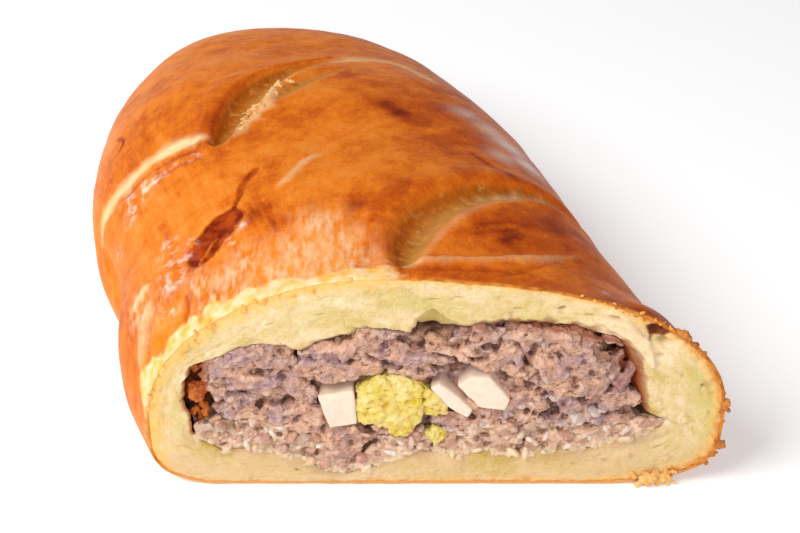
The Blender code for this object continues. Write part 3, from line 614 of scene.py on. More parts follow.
def crumbPiece(crustTurns, edge, inPlane):
    draw = np.random.default_rng(crumb["seed"])
    turns = evenTurns(crumb["pointsRound"], 1.0)

    def atTurns(values):
        periodic = np.append(crustTurns, 2 * math.pi)
        closed = np.concatenate([values, values[:1]])
        return np.stack([np.interp(turns, periodic, closed[:, i]) for i in range(3)], 1)

    outline = atTurns(edge)
    corners = [int(np.abs(turns - quarter * math.pi / 2).argmin()) for quarter in range(4)]
    inner = cavityOutline(quarterShares(outline, corners))
    inner = np.stack([inner[:, 0], np.zeros(len(inner)), inner[:, 1]], 1)
    inner[:, 0] += 0.0005 * noiseField(inner, 420, 3.0)
    inner[:, 2] += 0.0006 * noiseField(inner, 380, 8.0)
    outerEdge = outline - atTurns(inPlane) * (rimThickness(outline) * 0.93 - 0.0002)[:, None]
    shares = (np.linspace(0, 1, crumb["rings"]) ** 0.9)[:, None, None]
    face = outerEdge[None] * (1 - shares) + inner[None] * shares
    size = face.shape[:2]
    flat = face.reshape(-1, 3)
    fromRim = np.linalg.norm(face - outerEdge[None], axis=2).reshape(-1)
    toHole = np.linalg.norm(face - inner[None], axis=2).reshape(-1)
    along = np.roll(face, -1, 1) - np.roll(face, 1, 1)
    slope = np.arctan2(along[..., 2], along[..., 0]).reshape(-1)
    # its grain is drawn out along the rim
    steps = stepLengths(np.concatenate([outline, outline[:1]]))
    angle = (np.cumsum(steps) - steps[0]) / steps.sum() * 2 * math.pi
    reach = steps.sum() / (2 * math.pi) * crumb["swirl"]
    circle = [np.broadcast_to(reach * part, size) for part in (np.cos(angle), np.sin(angle))]
    swirl = np.stack([*circle, fromRim.reshape(size)], -1)
    streak = np.maximum(0, noiseField(swirl, 620, 9.0, 3) - 0.14)
    deep = crumb["roughness"] * noiseField(flat, 900, 1.0, 3) + 0.00035 * noiseField(flat, 130, 4.0)
    deep += 0.0004 * streak
    deep -= 0.0004 * noiseField(flat, 330, 12.0, 2)
    poreShadeAndStreak = 0.2 * streak
    poreFields(draw, flat, slope, deep, poreShadeAndStreak)
    keep = smoothStep(0, 0.0012, fromRim)
    deep = deep * keep + 0.00025 * (1 - keep)
    # the edge towards the filling is rounded, except where the rice joins it
    overFloor = np.tile(smoothStep(0.020, 0.034, inner[:, 2]), size[0])
    deep += (0.0001 + 0.0008 * overFloor) * softSpot(toHole / 0.0013)
    face[..., 1] = deep.reshape(size)
    # the notch in the roof closes within a few millimetres, so its sloping side shows
    notchFoot = 0.0508
    inNotch = (np.abs(inner[:, 0] + 0.001) < 0.0078) & (inner[:, 2] > notchFoot)
    wallPlaces = (0.0018, 0.0032, 0.005, 0.0075, 0.011, 0.016, 0.03, 0.06, 0.1, 0.14, 0.165, 0.18, 0.186)
    wall = []
    for y in wallPlaces:
        line = inner[:, [0, 2]].copy()
        opened = 1 - smoothStep(-0.001, 0.0046, y)
        line[:, 1] = np.where(inNotch, notchFoot + (line[:, 1] - notchFoot) * opened, line[:, 1])
        ring = leaned(line, y)
        ring += 0.0007 * noiseField(ring, 300, 6.0)[:, None] * (0.4, 0, 1)
        wall.append(ring)
    outerWall = hiddenWall(turns, 0.0004)
    tucked = outerEdge.copy()
    tucked[:, 1] = 0.0016
    before, after = len(outerWall) + 1, len(wall)

    def onFace(values):  # a value for each ring point, at every point of the face
        return np.tile(values, size[0])

    def whole(values, start=0, end=0):  # with the hidden rings before and after the face
        ends = np.broadcast_to(end, (after, size[1]))
        return np.concatenate([np.full((before, size[1]), start), values.reshape(size), ends])

    x, z = inner[:, 0], inner[:, 2]
    notch = softSpot((x + 0.001) / 0.0075) * smoothStep(0.050, 0.052, z)
    atRight = smoothStep(0.036, 0.048, x) * smoothStep(0.020, 0.028, z)
    atRoof = smoothStep(0.036, 0.042, z) * smoothStep(0.008, 0.020, x)
    leftVoid = smoothStep(-0.056, -0.062, x) * smoothStep(0.012, 0.018, z)
    wetAt = 0.10 + 0.20 * smoothStep(0.036, 0.042, z) + 0.7 * atRoof + 0.7 * atRight + 0.5 * leftVoid - notch
    wetReach = onFace(0.0014 + 0.0016 * atRoof - 0.0003 * atRight)
    wetReach = wetReach * (1 + 1.6 * noiseField(flat, 300, 2.0, 2))
    wet = onFace(np.clip(wetAt, 0, 1)) * softSpot(toHole / np.maximum(wetReach, 0.0004))
    burnt = np.zeros(len(flat))
    fold = np.zeros(len(flat))
    uneven = np.maximum(0.6, 1 + 1.2 * noiseField(flat, 420, 3.0))
    for mask, spots in ((wet, wetSpots), (burnt, burntSpots)):
        for x, z, radius, strength in spots:
            away = np.hypot(flat[:, 0] - x * mm, flat[:, 2] - z * mm) / (radius * mm)
            mask[:] = np.maximum(mask, strength * softSpot(away * uneven))
    calm = 1 + 0.4 * noiseField(flat, 220, 3.0, 2)
    steps = np.linspace(0, len(foldPath) - 1, 60)
    foldLine = [np.interp(steps, range(len(foldPath)), values) * mm for values in zip(*foldPath)]
    for x, z, radius in zip(*foldLine):
        away = np.hypot(flat[:, 0] - x, flat[:, 2] - z) / radius
        fold = np.maximum(fold, smoothStep(1.3, 0.6, away * calm))
    face[..., 1] -= 0.0011 * fold.reshape(size)
    inStains = [((x * mm, 0, z * mm), radius, strength) for x, z, radius, strength in stains]
    soaked = largestSpots(flat * (1, 0, 1), inStains)
    wallWet = np.clip(0.45 + 0.5 * atRight + 0.4 * atRoof - 0.9 * notch, 0, 1)
    tan = softSpot(toHole / 0.0055) * smoothStep(0.024, 0.014, flat[:, 2])
    tan = tan * (0.8 + noiseField(flat, 150, 3.0))
    under, right = smoothStep(0.012, 0.004, outline[:, 2]), smoothStep(0.035, 0.062, outline[:, 0])
    left = smoothStep(0.004, -0.030, outline[:, 0]) * smoothStep(0.001, 0.012, outline[:, 2])
    rimEdge = onFace(0.0008 + 0.0005 * under + 0.0022 * right) * (1 + 1.1 * noiseField(flat, 620, 4.0, 3))
    rim = 1 - smoothStep(-0.0004, 1, fromRim / np.maximum(rimEdge, 0.0003))
    goldAt = onFace(0.0019 + 0.0046 * left + 0.0026 * right) * (1 + 0.7 * noiseField(flat, 420, 5.0, 3))
    wallJuice = np.maximum(leftVoid, 0.8 * atRight)
    masks = {
        "rim": whole(rim * onFace(1 - 0.97 * lipShare(outline)), 1),
        "gold": whole(softSpot(fromRim / np.maximum(goldAt, 0.0003)), 1),
        # painted shade in the pores, over faint streaks of the grain
        "poreShadeAndStreak": whole(np.clip(poreShadeAndStreak, 0, 1), 0, 0.2),
        "stain": whole(soaked),
        "wet": whole(np.clip(wet, 0, 1), 0, wallWet),
        # partly juice, partly painted shade on the walls of the hollows
        "juiceAndShade": whole(onFace(leftVoid) * softSpot(toHole / 0.0012), 0, wallJuice),
        "olive": whole(onFace(notch) * softSpot(toHole / 0.0014), 0, notch),
        "fold": whole(fold),
        "burnt": whole(smoothStep(0.1, 0.6, burnt)),
        # darker towards the bottom of the face: partly the crumb's own tone, partly painted shade
        "low": whole(1 - smoothStep(0.004, 0.022, flat[:, 2]), 0, 0.4),
        "tan": whole(np.clip(tan, 0, 1), 0, 0.5),
    }
    deeper = np.stack([swirl[-1] + (0, 0, y) for y in wallPlaces])
    masks["swirl"] = np.concatenate([np.repeat(swirl[:1], before, 0), swirl, deeper])
    return closedTube("crumb", np.concatenate([outerWall[::-1], tucked[None], face, np.array(wall)]), masks)


print("crust")
crustObject, crustTurns, cutEdge, edgeOut = crustPiece()
print("crumb")
crumbObject = crumbPiece(crustTurns, cutEdge, edgeOut)


# The line where meat lies on rice, left to right in mm
layerLine = (
    (-66, 19.5), (-61.3, 20.2), (-52, 21.9), (-41.5, 20.2), (-35, 18.8), (-31, 14), (-27, 8), (-21, 7.5),
    (-17, 12), (-13, 16.5), (-9.7, 15.8), (0.9, 18), (11.4, 20.2), (21.9, 21.9), (32.6, 18.6),
    (43.2, 18.6), (52, 20.6), (60, 22.4),
)
filling = {
    "left": -0.0655,
    "right": 0.0535,
    "columns": 44,
    "blockFront": {"mince": 0.0034, "rice": 0.0014},
    "blockBacks": (0.0096, 0.016),
    "coreFront": 0.0125,
    "coreBacks": (0.03, 0.06, 0.1, 0.14, 0.165, 0.1796),
    "cellsUp": {"mince": 6, "rice": 4},
    "lumpDepth": 0.0036,
    # name, number, sizes in mm and crag
    "crumbs": (("chunks", 120, (1.6, 3.4), 0.40), ("crumbs", 190, (0.5, 1.1), 0.34)),
    "voxel": {"mince": 0.00044, "rice": 0.00046},
    "riceLumps": 620,
    "rowGrains": 170,
    "seed": 5,
}
# Hollows at the cut: across, height, half width, half height and depth, in mm
hollows = (
    (-63, 30, 3.6, 12, 6), (-0.6, 49.4, 5, 1.9, 9), (5.2, 40.8, 2.6, 4.2, 7), (48.6, 44, 4.8, 8, 9),
    (52.5, 36, 2.4, 7, 8), (43.8, 46.4, 2.8, 3.6, 8), (-37.3, 43.6, 1.7, 2, 5),
    (-33.2, 26.2, 2.6, 1.3, 4), (38.5, 35.8, 2.4, 1.2, 4), (-47.6, 14.8, 1, 2.6, 3),
    (-45, 17.2, 2.4, 0.9, 3), (-60.5, 22.5, 3.6, 3.4, 5), (-26.5, 47, 1.6, 2.2, 4),
    (19.6, 50, 2.6, 1.6, 4), (15.6, 45.6, 2, 1.2, 3), (-52.5, 31, 2, 0.9, 3), (-22.5, 40.4, 3, 0.8, 3),
)
# Lumps of mince: across, height, half length, half height in mm, slope, how far out in mm and tint
# (0 is grey, 0.5 brown, 1 peach)
meatLumps = (
    (-49.5, 42, 8.5, 3.4, 16, 3, 0.3), (-55.5, 36.8, 4.6, 3.8, 24, 2.6, 0.4),
    (-43, 41.6, 6, 4, -4, 2.6, 0.48), (-47, 35, 8.6, 3.4, 8, 3.2, 0.22),
    (-57.2, 31.6, 3, 3.4, 60, 2.2, 0.5), (-51.5, 28.4, 4.6, 2, 6, 1.6, 0.05),
    (-42.6, 30.8, 4, 2.6, -20, 2.4, 0.45), (-31, 43, 5.2, 3.2, 20, 2.8, 0.42),
    (-30.5, 37.6, 6.2, 3.4, 8, 3, 0.48), (-38, 33, 5.4, 3.4, -24, 2.8, 0.2),
    (-34.5, 30.2, 3.4, 2.8, -50, 3, 0.72), (-38.4, 24, 5.6, 3, 24, 2.8, 0.85),
    (-31.8, 20.6, 4.2, 4.6, 64, 2.8, 0.95), (-44.6, 23, 3.4, 3, -30, 2.4, 0.6),
    (-37, 19.4, 3.6, 2, -14, 2.2, 0.98), (-20, 45.2, 6.4, 3, 18, 3.2, 0.7),
    (-14.2, 48.4, 4.6, 3.2, 14, 2.6, 0.45), (-24.4, 42.6, 3.4, 2.2, -30, 2.4, 0.5),
    (-20.8, 38.4, 6.6, 2.4, 5, 3, 0.6), (-6.5, 42.3, 9.4, 2.4, -5, 3.6, 0.2),
    (-6.2, 37.5, 7, 1.5, -3, 3, 0.62), (6.6, 42.3, 2.8, 0.9, -38, 3.2, 1.1),
    (1.2, 44.9, 5, 1.5, -14, 3.4, 0.95), (10.8, 47.6, 5.2, 2.8, 4, 2.8, 0.5),
    (9.5, 43.8, 4, 1.3, -22, 2.8, 0.8), (16, 41.2, 6.6, 2.5, -40, 3, 0.72),
    (12.2, 39, 3.6, 1.6, -30, 3, 0.9), (20, 41.8, 2, 1.8, 0, 2.4, -0.1),
    (20.8, 46.8, 4.4, 4, 70, 3, 0.55), (27.2, 47.2, 5.4, 3.8, 10, 3.4, 0.55),
    (35.4, 45.8, 5.8, 4, -26, 3.4, 0.42), (28.8, 39.6, 5.6, 4.2, -20, 3.8, 0.58),
    (37.2, 39.6, 5, 4.2, -10, 3.6, 0.5), (31.6, 34, 6.2, 2.3, 4, 3.4, 0.95),
    (24.2, 36, 4.4, 2, -44, 3, 0.7), (23.4, 31.6, 5, 1.6, -28, 2.8, 0.85),
    (40.4, 32, 4.4, 3.2, 20, 3, 0.62), (30.2, 29.4, 2.4, 1.5, 0, 2.2, -0.15),
    (35, 25.6, 3.8, 2.7, 10, 2.6, -0.2), (41.2, 22.8, 3.4, 2.4, -10, 2.4, 0),
    (46, 27.4, 4.2, 2.8, 14, 2.4, 0.5), (26.4, 25.8, 3, 3, 0, 2.2, 0.45),
    (45.6, 36.6, 5, 2, 64, 0.4, 0.25), (48.2, 33, 4.6, 1.7, 60, 1, 0.35),
    (51.4, 27.6, 3.2, 2, -24, 1.8, 0.4), (40.4, 18.4, 5.2, 1.7, 4, 2.4, 0.85),
    (48.6, 21, 4.6, 2, -14, 2.2, 0.6), (32.5, 20.6, 2.6, 1.6, 6, 2, 0.7),
    (-25, 12.4, 4.8, 4.2, 70, 2.4, 0.6), (-21, 15.4, 3.6, 2.2, -20, 2.2, 0.7),
    (-29.5, 14.6, 3, 3.4, 80, 2.4, 0.8), (8, 21.5, 3.5, 1.6, 10, 1.6, 0.6),
    (17.5, 31, 3.4, 1.8, -50, 2, 0.65), (11.6, 25.6, 4.2, 1.6, -6, 2.4, 0.72),
    (-55, 25, 4, 2, 10, 2, 0.55), (-49.8, 23.6, 3.6, 2, -14, 2.2, 0.62),
    (44.6, 47, 3, 1.8, -30, 1.4, 0.45), (-8.5, 50, 3.6, 1.5, 12, 1.2, 0.4),
    (-58.6, 39.6, 2.4, 2, 40, 1.4, 0.5), (2.4, 21.4, 4.4, 2, 10, 2.4, 0.1),
    (8.6, 23.8, 4, 1.9, -20, 2.4, 0.75), (14.6, 24.6, 3.6, 2, 4, 2.4, 0.45),
    (20.6, 28, 3.6, 2.4, 24, 2.4, 0.3), (-13.6, 17.6, 3.6, 1.8, 10, 2.2, 0.55),
    (-7, 17.4, 3, 1.4, -20, 2, 0.7), (23.2, 22.4, 3.4, 1.8, 8, 2.4, 0.9),
    (27.8, 21.2, 3.2, 1.8, -14, 2.6, 0.2), (13, 21.8, 3.4, 1.5, -6, 2.2, 0.95),
    (18, 22.8, 2.8, 1.7, 14, 2.4, 0.15), (36.4, 20.4, 3.4, 1.7, 10, 2.6, 0.45),
    (43.6, 19.6, 3.2, 1.5, -8, 2.4, 0.7), (5, 19.4, 3.2, 1.5, 8, 2.2, 0.8),
)
# Boiled egg at the cut: outline of (across, height) in mm, depth and how far it stands out
eggPieces = {
    "egg_white_left": (((-31.4, 30.8), (-21.8, 32.6), (-21.0, 21.4), (-28.4, 20.0)), 9.0, 1.4),
    "egg_yolk": (((-21.8, 32.0), (-16.6, 36.2), (-9.7, 36.6), (-4.2, 34.2), (-3.0, 28.6), (-4.0, 22.4),
                  (-9.2, 16.0), (-14.0, 20.4), (-21.2, 21.6)), 11.0, 2.2),
    "egg_yolk_small": (((-4.4, 32.4), (-0.8, 31.4), (3.0, 28.2), (2.2, 23.4), (-3.4, 24.4)), 7.0, 1.5),
    "egg_white_strip": (((-2.0, 33.4), (0.6, 34.9), (4.2, 31.9), (9.4, 26.3), (8.0, 23.4), (3.4, 26.8)),
                        7.0, 1.7),
    "egg_white_right": (((4.9, 34.2), (8.6, 37.2), (13.8, 37.0), (19.2, 29.6), (17.8, 26.2), (11.0, 27.2)),
                        9.0, 1.7),
    "egg_yolk_crumb": (((-3.2, 17.8), (0.6, 19.4), (2.6, 16.8), (-0.8, 13.8)), 5.0, 1.4),
}


def lineAt(line, x):
    return np.interp(x, [p[0] * mm for p in line], [p[1] * mm for p in line])


def roofAt(x):  # without the notch, which stays empty
    return lineAt([p for p in roofLine if not -6 < p[0] < 5], x)


def floorAt(x):
    return lineAt(floorLine[:-3], x)


def layerAt(x):
    return lineAt(layerLine, x)


def minceSpan(x):
    return layerAt(x) + 0.0004, roofAt(x) - 0.0008


def riceSpan(x):
    return floorAt(x) + 0.0004, np.maximum(layerAt(x) - 0.0004, floorAt(x) + 0.0012)


def ballTemplate(detail, flatness):
    bm = bmesh.new()
    bmesh.ops.create_icosphere(bm, subdivisions=detail, radius=1.0)
    points = np.array([v.co[:] for v in bm.verts])
    points[:, 1] = np.sign(points[:, 1]) * np.abs(points[:, 1]) ** flatness
    faces = np.array([[v.index for v in f.verts] for f in bm.faces])
    bm.free()
    return points, faces


# Rotation matrices for arrays of angles: spin in the cut's plane first of all
def turned(yaw, pitch, spin):
    cy, cp, cs = np.cos(yaw), np.cos(pitch), np.cos(spin)
    sy, sp, ss = np.sin(yaw), np.sin(pitch), np.sin(spin)
    zero, one = np.zeros_like(cy), np.ones_like(cy)
    inPlane = np.array([[cs, zero, -ss], [zero, one, zero], [ss, zero, cs]])
    swing = np.array([[cy, -sy, zero], [sy, cy, zero], [zero, zero, one]])
    roll = np.array([[one, zero, zero], [zero, cp, -sp], [zero, sp, cp]])
    return np.moveaxis(inPlane, 2, 0) @ np.moveaxis(swing, 2, 0) @ np.moveaxis(roll, 2, 0)


# Many craggy balls in one mesh, each with its own centre, size and rotation
def ballCloud(name, centres, sizes, rotations, crag, detail=2, seed=0.0, flatness=1.0):
    template, faces = ballTemplate(detail, flatness)
    count = len(centres)
    rough = noiseField(template[None] * 1.6 + np.arange(count)[:, None, None] * 3.7, 1.0, seed, 1)
    shapes = template[None] * sizes[:, None] * (1 + 2 * crag * rough.reshape(count, -1, 1))
    placed = np.einsum("nij,nvj->nvi", rotations, shapes) + centres[:, None]
    allFaces = (faces[None] + (np.arange(count) * len(template))[:, None, None]).reshape(-1, 3)
    mesh = bpy.data.meshes.new(name)
    mesh.from_pydata(placed.reshape(-1, 3).tolist(), [], allFaces.tolist())
    return addPiece(name, mesh)


def joined(name, pieces):
    bm = bmesh.new()
    for piece in pieces:
        bm.from_mesh(piece.data)
        bpy.data.objects.remove(piece)
    return fromBmesh(name, bm)


def remeshed(piece, voxel):
    change = piece.modifiers.new("remesh", "REMESH")
    change.mode = "VOXEL"
    change.voxel_size = voxel
    piece.data = evaluatedMesh(piece)
    piece.data.shade_smooth()
    return piece.data


# Points pushed along their normals by layers of noise: scale, shift and height of each
def roughened(mesh, layers):
    points, normals = readPoints(mesh), readPoints(mesh, "normal")
    push = sum(noiseField(points, scale, shift) * height for scale, shift, height in layers)
    return points + normals * push[:, None]


def windingCracks(points, scale, shift, width):  # 1 along the cracks, 0 between them
    return 1 - smoothStep(0, width, np.abs(noiseField(points * (1, 1, 1.6), scale, shift, 2)))


def hollowDepth(x, z):
    deep = np.zeros_like(x)
    for place, height, halfWidth, halfHeight, depth in hollows:
        away = ((x / mm - place) / halfWidth) ** 2 + ((z / mm - height) / halfHeight) ** 2
        deep = np.maximum(deep, depth * mm * np.exp(-away))
    return deep


# A layer of the filling as a tube of rings, with an uneven front
def block(span, left, right, backs, front, cellsUp):
    x = np.linspace(left, right, filling["columns"])
    low, high = span(x)
    ups = np.linspace(0, 1, cellsUp)
    # the front is drawn as rings that shrink to its middle line, and so reach every cell
    loop = [(i, 0.0) for i in range(len(x))] + [(len(x) - 1, u) for u in ups[1:-1]]
    loop += [(i, 1.0) for i in reversed(range(len(x)))] + [(0, u) for u in ups[1:-1][::-1]]
    index = np.array([p[0] for p in loop])
    share = np.array([p[1] for p in loop])
    outline = np.stack([x[index], low[index] + (high - low)[index] * share], 1)
    spine = np.stack([outline[:, 0] * 0.93 + 0.07 * x.mean(), (low + high)[index] / 2], 1)
    rings = []
    for inward in (0.985, 0.8, 0.6, 0.4, 0.25, 0.12, 0.04, 0.0):
        spot = outline * (1 - inward) + spine * inward
        ring = leaned(spot, 0.0)
        ring[:, 1] = front + hollowDepth(spot[:, 0], spot[:, 1])
        ring[:, 1] += 0.0006 * noiseField(ring, 260, 8.0)
        rings.append(ring)
    return closedTube("block", rings + [leaned(outline, y) for y in backs])


def eggClear(x, z, margin):  # False for places inside the outline of a piece of egg
    clear = np.ones(len(x), bool)
    for outline, _, _ in eggPieces.values():
        corners = np.array(outline) * mm
        inside = np.ones(len(x), bool)
        for a, b in zip(corners, np.roll(corners, -1, 0)):
            out = unit(np.array([b[1] - a[1], a[0] - b[0]]))
            if ((corners.mean(0) - a) * out).sum() > 0:
                out = -out
            inside &= (x - a[0]) * out[0] + (z - a[1]) * out[1] < margin
        clear &= ~inside
    return clear


# How deep each point lies below its neighbourhood, in metres
def depthBelow(mesh, rounds):
    points = readPoints(mesh)
    edges = np.empty(len(mesh.edges) * 2, int)
    mesh.edges.foreach_get("vertices", edges)
    edges = edges.reshape(-1, 2)
    count = np.bincount(edges.reshape(-1), minlength=len(points)).astype(float)[:, None]
    smooth = points.copy()
    for _ in range(rounds):
        total = np.zeros_like(points)
        for i in range(3):
            for here, there in ((0, 1), (1, 0)):
                total[:, i] += np.bincount(edges[:, here], smooth[edges[:, there], i], len(points))
        smooth = 0.5 * smooth + 0.5 * total / np.maximum(count, 1)
    return ((smooth - points) * readPoints(mesh, "normal")).sum(1)


# The detailed front of a layer of the filling, remeshed, and the plain core that runs back through the loaf
def layerBed(kind, span, left, right):
    cells = filling["cellsUp"][kind]
    return block(span, left, right, filling["blockBacks"], filling["blockFront"][kind], cells)


def withCore(name, kind, span, left, right, piece, masks):
    core = block(span, left, right, filling["coreBacks"], filling["coreFront"], filling["cellsUp"][kind])
    for mask, (values, rest) in masks.items():
        paint(piece.data, mask, values)
        paint(core.data, mask, np.full(len(core.data.vertices), float(rest)))
    return joined(name, [piece, core])


def mincePiece():
    draw = np.random.default_rng(filling["seed"])
    ends = filling["left"] + 0.002, filling["right"] - 0.002
    lumps = np.array(meatLumps)
    count = len(lumps)
    frontAt = 0.0018 - 0.0008 * lumps[:, 5]
    centres = np.stack([lumps[:, 0] * mm, frontAt + filling["lumpDepth"], lumps[:, 1] * mm], 1)
    sizes = np.stack([lumps[:, 2] * mm, np.full(count, filling["lumpDepth"]), lumps[:, 3] * mm], 1) * 1.04
    spin = np.radians(lumps[:, 4])
    rotations = turned(np.zeros(count), np.zeros(count), spin)
    big = ballCloud("lumps", centres, sizes, rotations, 0.22, 4, 2.0, 0.62)
    parts = [layerBed("mince", minceSpan, *ends), big]
    # chunks and crumbs half sunk in the front of each lump
    for name, number, (small, large), crag in filling["crumbs"]:
        area = lumps[:, 2] * lumps[:, 3]
        which = draw.choice(count, number, p=area / area.sum())
        angle, out = draw.uniform(0, 2 * math.pi, number), np.sqrt(draw.uniform(0, 0.95, number))
        size = draw.uniform(small, large, number) * mm
        local = np.stack([np.cos(angle) * out, -((1 - out**2) ** 0.31), np.sin(angle) * out], 1)
        spots = np.einsum("nij,nj->ni", rotations[which], local * sizes[which]) + centres[which]
        spots[:, 1] += size * 0.6
        wide, high = draw.uniform(1.0, 2.2, number), draw.uniform(0.7, 1.1, number)
        bitSizes = np.stack([size * wide, size * 0.8, size * high], 1)
        bitTurns = turned(draw.uniform(-0.4, 0.4, number), draw.uniform(-0.4, 0.4, number),
                          spin[which] + draw.normal(0, 0.7, number))
        x, z = spots[:, 0], spots[:, 2]
        keep = (z > layerAt(x) + 0.0002) & (z < roofAt(x) - 0.0002) & eggClear(x, z, -0.0004)
        parts.append(ballCloud(name, spots[keep], bitSizes[keep], bitTurns[keep], crag, 2, 4.0))
    piece = joined("mince", parts)
    mesh = remeshed(piece, filling["voxel"]["mince"])
    points, normals = readPoints(mesh), readPoints(mesh, "normal")
    front = smoothStep(0.009, 0.004, points[:, 1])
    cracks = windingCracks(points, 150, 3.0, 0.07) + 0.6 * windingCracks(points, 380, 9.0, 0.10)
    relief = noiseField(points, 230, 1.0, 2) * 0.0009 + noiseField(points, 800, 6.0, 3) * 0.00028
    points = points + normals * ((relief - cracks * 0.0004) * front)[:, None]
    points[:, 2] = np.clip(points[:, 2], layerAt(points[:, 0]) - 0.0022, roofAt(points[:, 0]) + 0.0003)
    points[:, 1] = np.maximum(points[:, 1], -0.0024)
    setPoints(mesh, points)
    below = depthBelow(mesh, 12)
    x, y, z = points.T
    nearest = np.full(len(points), 9e9)
    tint = np.zeros(len(points))
    for place, height, halfLength, halfHeight, slope, _, colour in meatLumps:
        c, s = math.cos(math.radians(slope)), math.sin(math.radians(slope))
        dx, dz = x / mm - place, z / mm - height
        away = ((dx * c + dz * s) / halfLength) ** 2 + ((-dx * s + dz * c) / halfHeight) ** 2
        tint = np.where(away < nearest, colour, tint)
        nearest = np.minimum(nearest, away)
    # painted shade: darker in the crevices between lumps and deeper behind the cut, where the hollows are
    deep = 0.9 * smoothStep(0.00006, 0.0005, below) + smoothStep(0.0002, 0.0011, depthBelow(mesh, 60))
    deep += 0.25 * cracks + 0.95 * smoothStep(0.0040, 0.0085, y)
    # darker in the hollows at both ends and under the roof: partly juice, partly painted shade
    atLeft = smoothStep(-0.0585, -0.0615, x) * smoothStep(0.020, 0.024, z)
    atRight = smoothStep(0.0435, 0.0475, x) * smoothStep(0.028, 0.033, z)
    juiceAndShade = np.maximum(atLeft, atRight * (0.35 + 0.4 * smoothStep(0.002, 0.005, y)))
    underRoof = smoothStep(-0.0024, -0.0008, z - roofAt(x) + 0.0012 * noiseField(points, 260, 5.0))
    juiceAndShade = np.maximum(juiceAndShade, 0.75 * underRoof * smoothStep(0.006, 0.016, x))
    # the last mask marks the raised ridges, where highlights are painted
    return withCore("mince", "mince", minceSpan, *ends, piece, {
        "creviceShade": (np.clip(deep, 0, 1), 1), "tint": (tint, 0), "juiceAndShade": (juiceAndShade, 0),
        "ridgeHighlight": (smoothStep(0.00002, 0.00035, -below), 0)})


def ricePiece():
    draw = np.random.default_rng(filling["seed"] + 1)
    left, right = filling["left"] + 0.0012, filling["right"] + 0.003
    count = filling["riceLumps"]
    x = draw.uniform(left + 0.001, right + 0.002, count)
    z = floorAt(x) + draw.uniform(0.0, 1.0, count) * (layerAt(x) - floorAt(x) + 0.001)
    y = draw.uniform(-0.0002, 0.0022, count)
    size = draw.uniform(0.5, 1.5, count) * mm
    sizes = np.stack([size * draw.uniform(1.1, 2.2, count), size, size * draw.uniform(0.7, 1.1, count)], 1)
    yaw, pitch = draw.uniform(-0.6, 0.6, count), draw.uniform(-0.6, 0.6, count)
    rotations = turned(yaw, pitch, draw.normal(0, 0.9, count))
    keep = (z > floorAt(x) - 0.0002) & (z < layerAt(x) + 0.0002) & eggClear(x, z, 0.0004)
    lumps = ballCloud("lumps", np.stack([x, y, z], 1)[keep], sizes[keep], rotations[keep], 0.34, 2, 6.0)
    # a row of grains pressed onto the dough below
    number = filling["rowGrains"]
    x = np.linspace(left + 0.0006, right + 0.001, number)
    y = draw.uniform(0.0009, 0.0016, number)
    foot = np.stack([x, y, floorAt(x) + draw.uniform(-0.0005, 0.0008, number)], 1)
    small = draw.uniform(0.7, 1.2, (number, 3)) * (1.5 * mm, mm, 0.8 * mm)
    spread = turned(draw.uniform(-0.4, 0.4, number), np.zeros(number), draw.normal(0, 0.3, number))
    row = ballCloud("row", foot, small, spread, 0.3, 2, 3.0)
    piece = joined("riceBed", [layerBed("rice", riceSpan, left, right), lumps, row])
    mesh = remeshed(piece, filling["voxel"]["rice"])
    points, normals = readPoints(mesh), readPoints(mesh, "normal")
    cracks = windingCracks(points, 260, 8.0, 0.10)
    front = smoothStep(0.009, 0.004, points[:, 1])
    relief = noiseField(points, 280, 3.0, 3) * 0.0007
    points = points + normals * ((relief - cracks * 0.0004) * front)[:, None]
    # the knife went through the grains, so the front is nearly flat
    plane = -0.0002 + 0.0012 * noiseField(points * (1, 0, 1), 110, 2.0, 2)
    points[:, 1] = np.where(points[:, 1] < plane, plane + (points[:, 1] - plane) * 0.3, points[:, 1])
    low = floorAt(points[:, 0]) - 0.0012 + 0.0012 * noiseField(points * (1, 0, 1), 420, 9.0, 2)
    points[:, 2] = np.clip(points[:, 2], low, layerAt(points[:, 0]) + 0.0012)
    setPoints(mesh, points)
    # painted shade: darker in the crevices between the grains
    near = smoothStep(0.00005, 0.00045, depthBelow(mesh, 12))
    wide = smoothStep(0.0002, 0.0011, depthBelow(mesh, 50))
    doughy = smoothStep(0.0026, 0.0002, points[:, 2] - floorAt(points[:, 0]))
    return withCore("riceBed", "rice", riceSpan, left, right, piece, {
        "creviceShade": (np.clip(0.8 * near + 0.8 * wide + 0.3 * cracks, 0, 1), 1), "doughy": (doughy, 0)})


# A slice of egg white: its outline run back, with rounded edges and a faint waviness
def whitePiece(name):
    outline, depth, out = eggPieces[name]
    corners = np.array(outline)
    middle = corners.mean(0)
    bm = bmesh.new()
    rings = []
    for y, shrink in ((-out, 1.0), (depth * 0.5, 0.97), (depth, 0.86)):
        ring = (middle + (corners - middle) * shrink) * mm
        rings.append([bm.verts.new((x, y * mm, z)) for x, z in ring])
    for near, far in zip(rings, rings[1:]):
        for i in range(len(corners)):
            j = (i + 1) % len(corners)
            bm.faces.new((near[i], near[j], far[j], far[i]))
    bm.faces.new(rings[0])
    bm.faces.new(reversed(rings[-1]))
    bmesh.ops.recalc_face_normals(bm, faces=bm.faces)
    bmesh.ops.bevel(bm, geom=bm.edges[:], offset=0.0006, segments=3, affect="EDGES", profile=0.5)
    bmesh.ops.triangulate(bm, faces=bm.faces)
    piece = fromBmesh(name, bm)
    mesh = remeshed(piece, 0.0004)
    setPoints(mesh, roughened(mesh, ((230, 2.0, 0.00025), (900, 5.0, 0.00004))))
    return piece


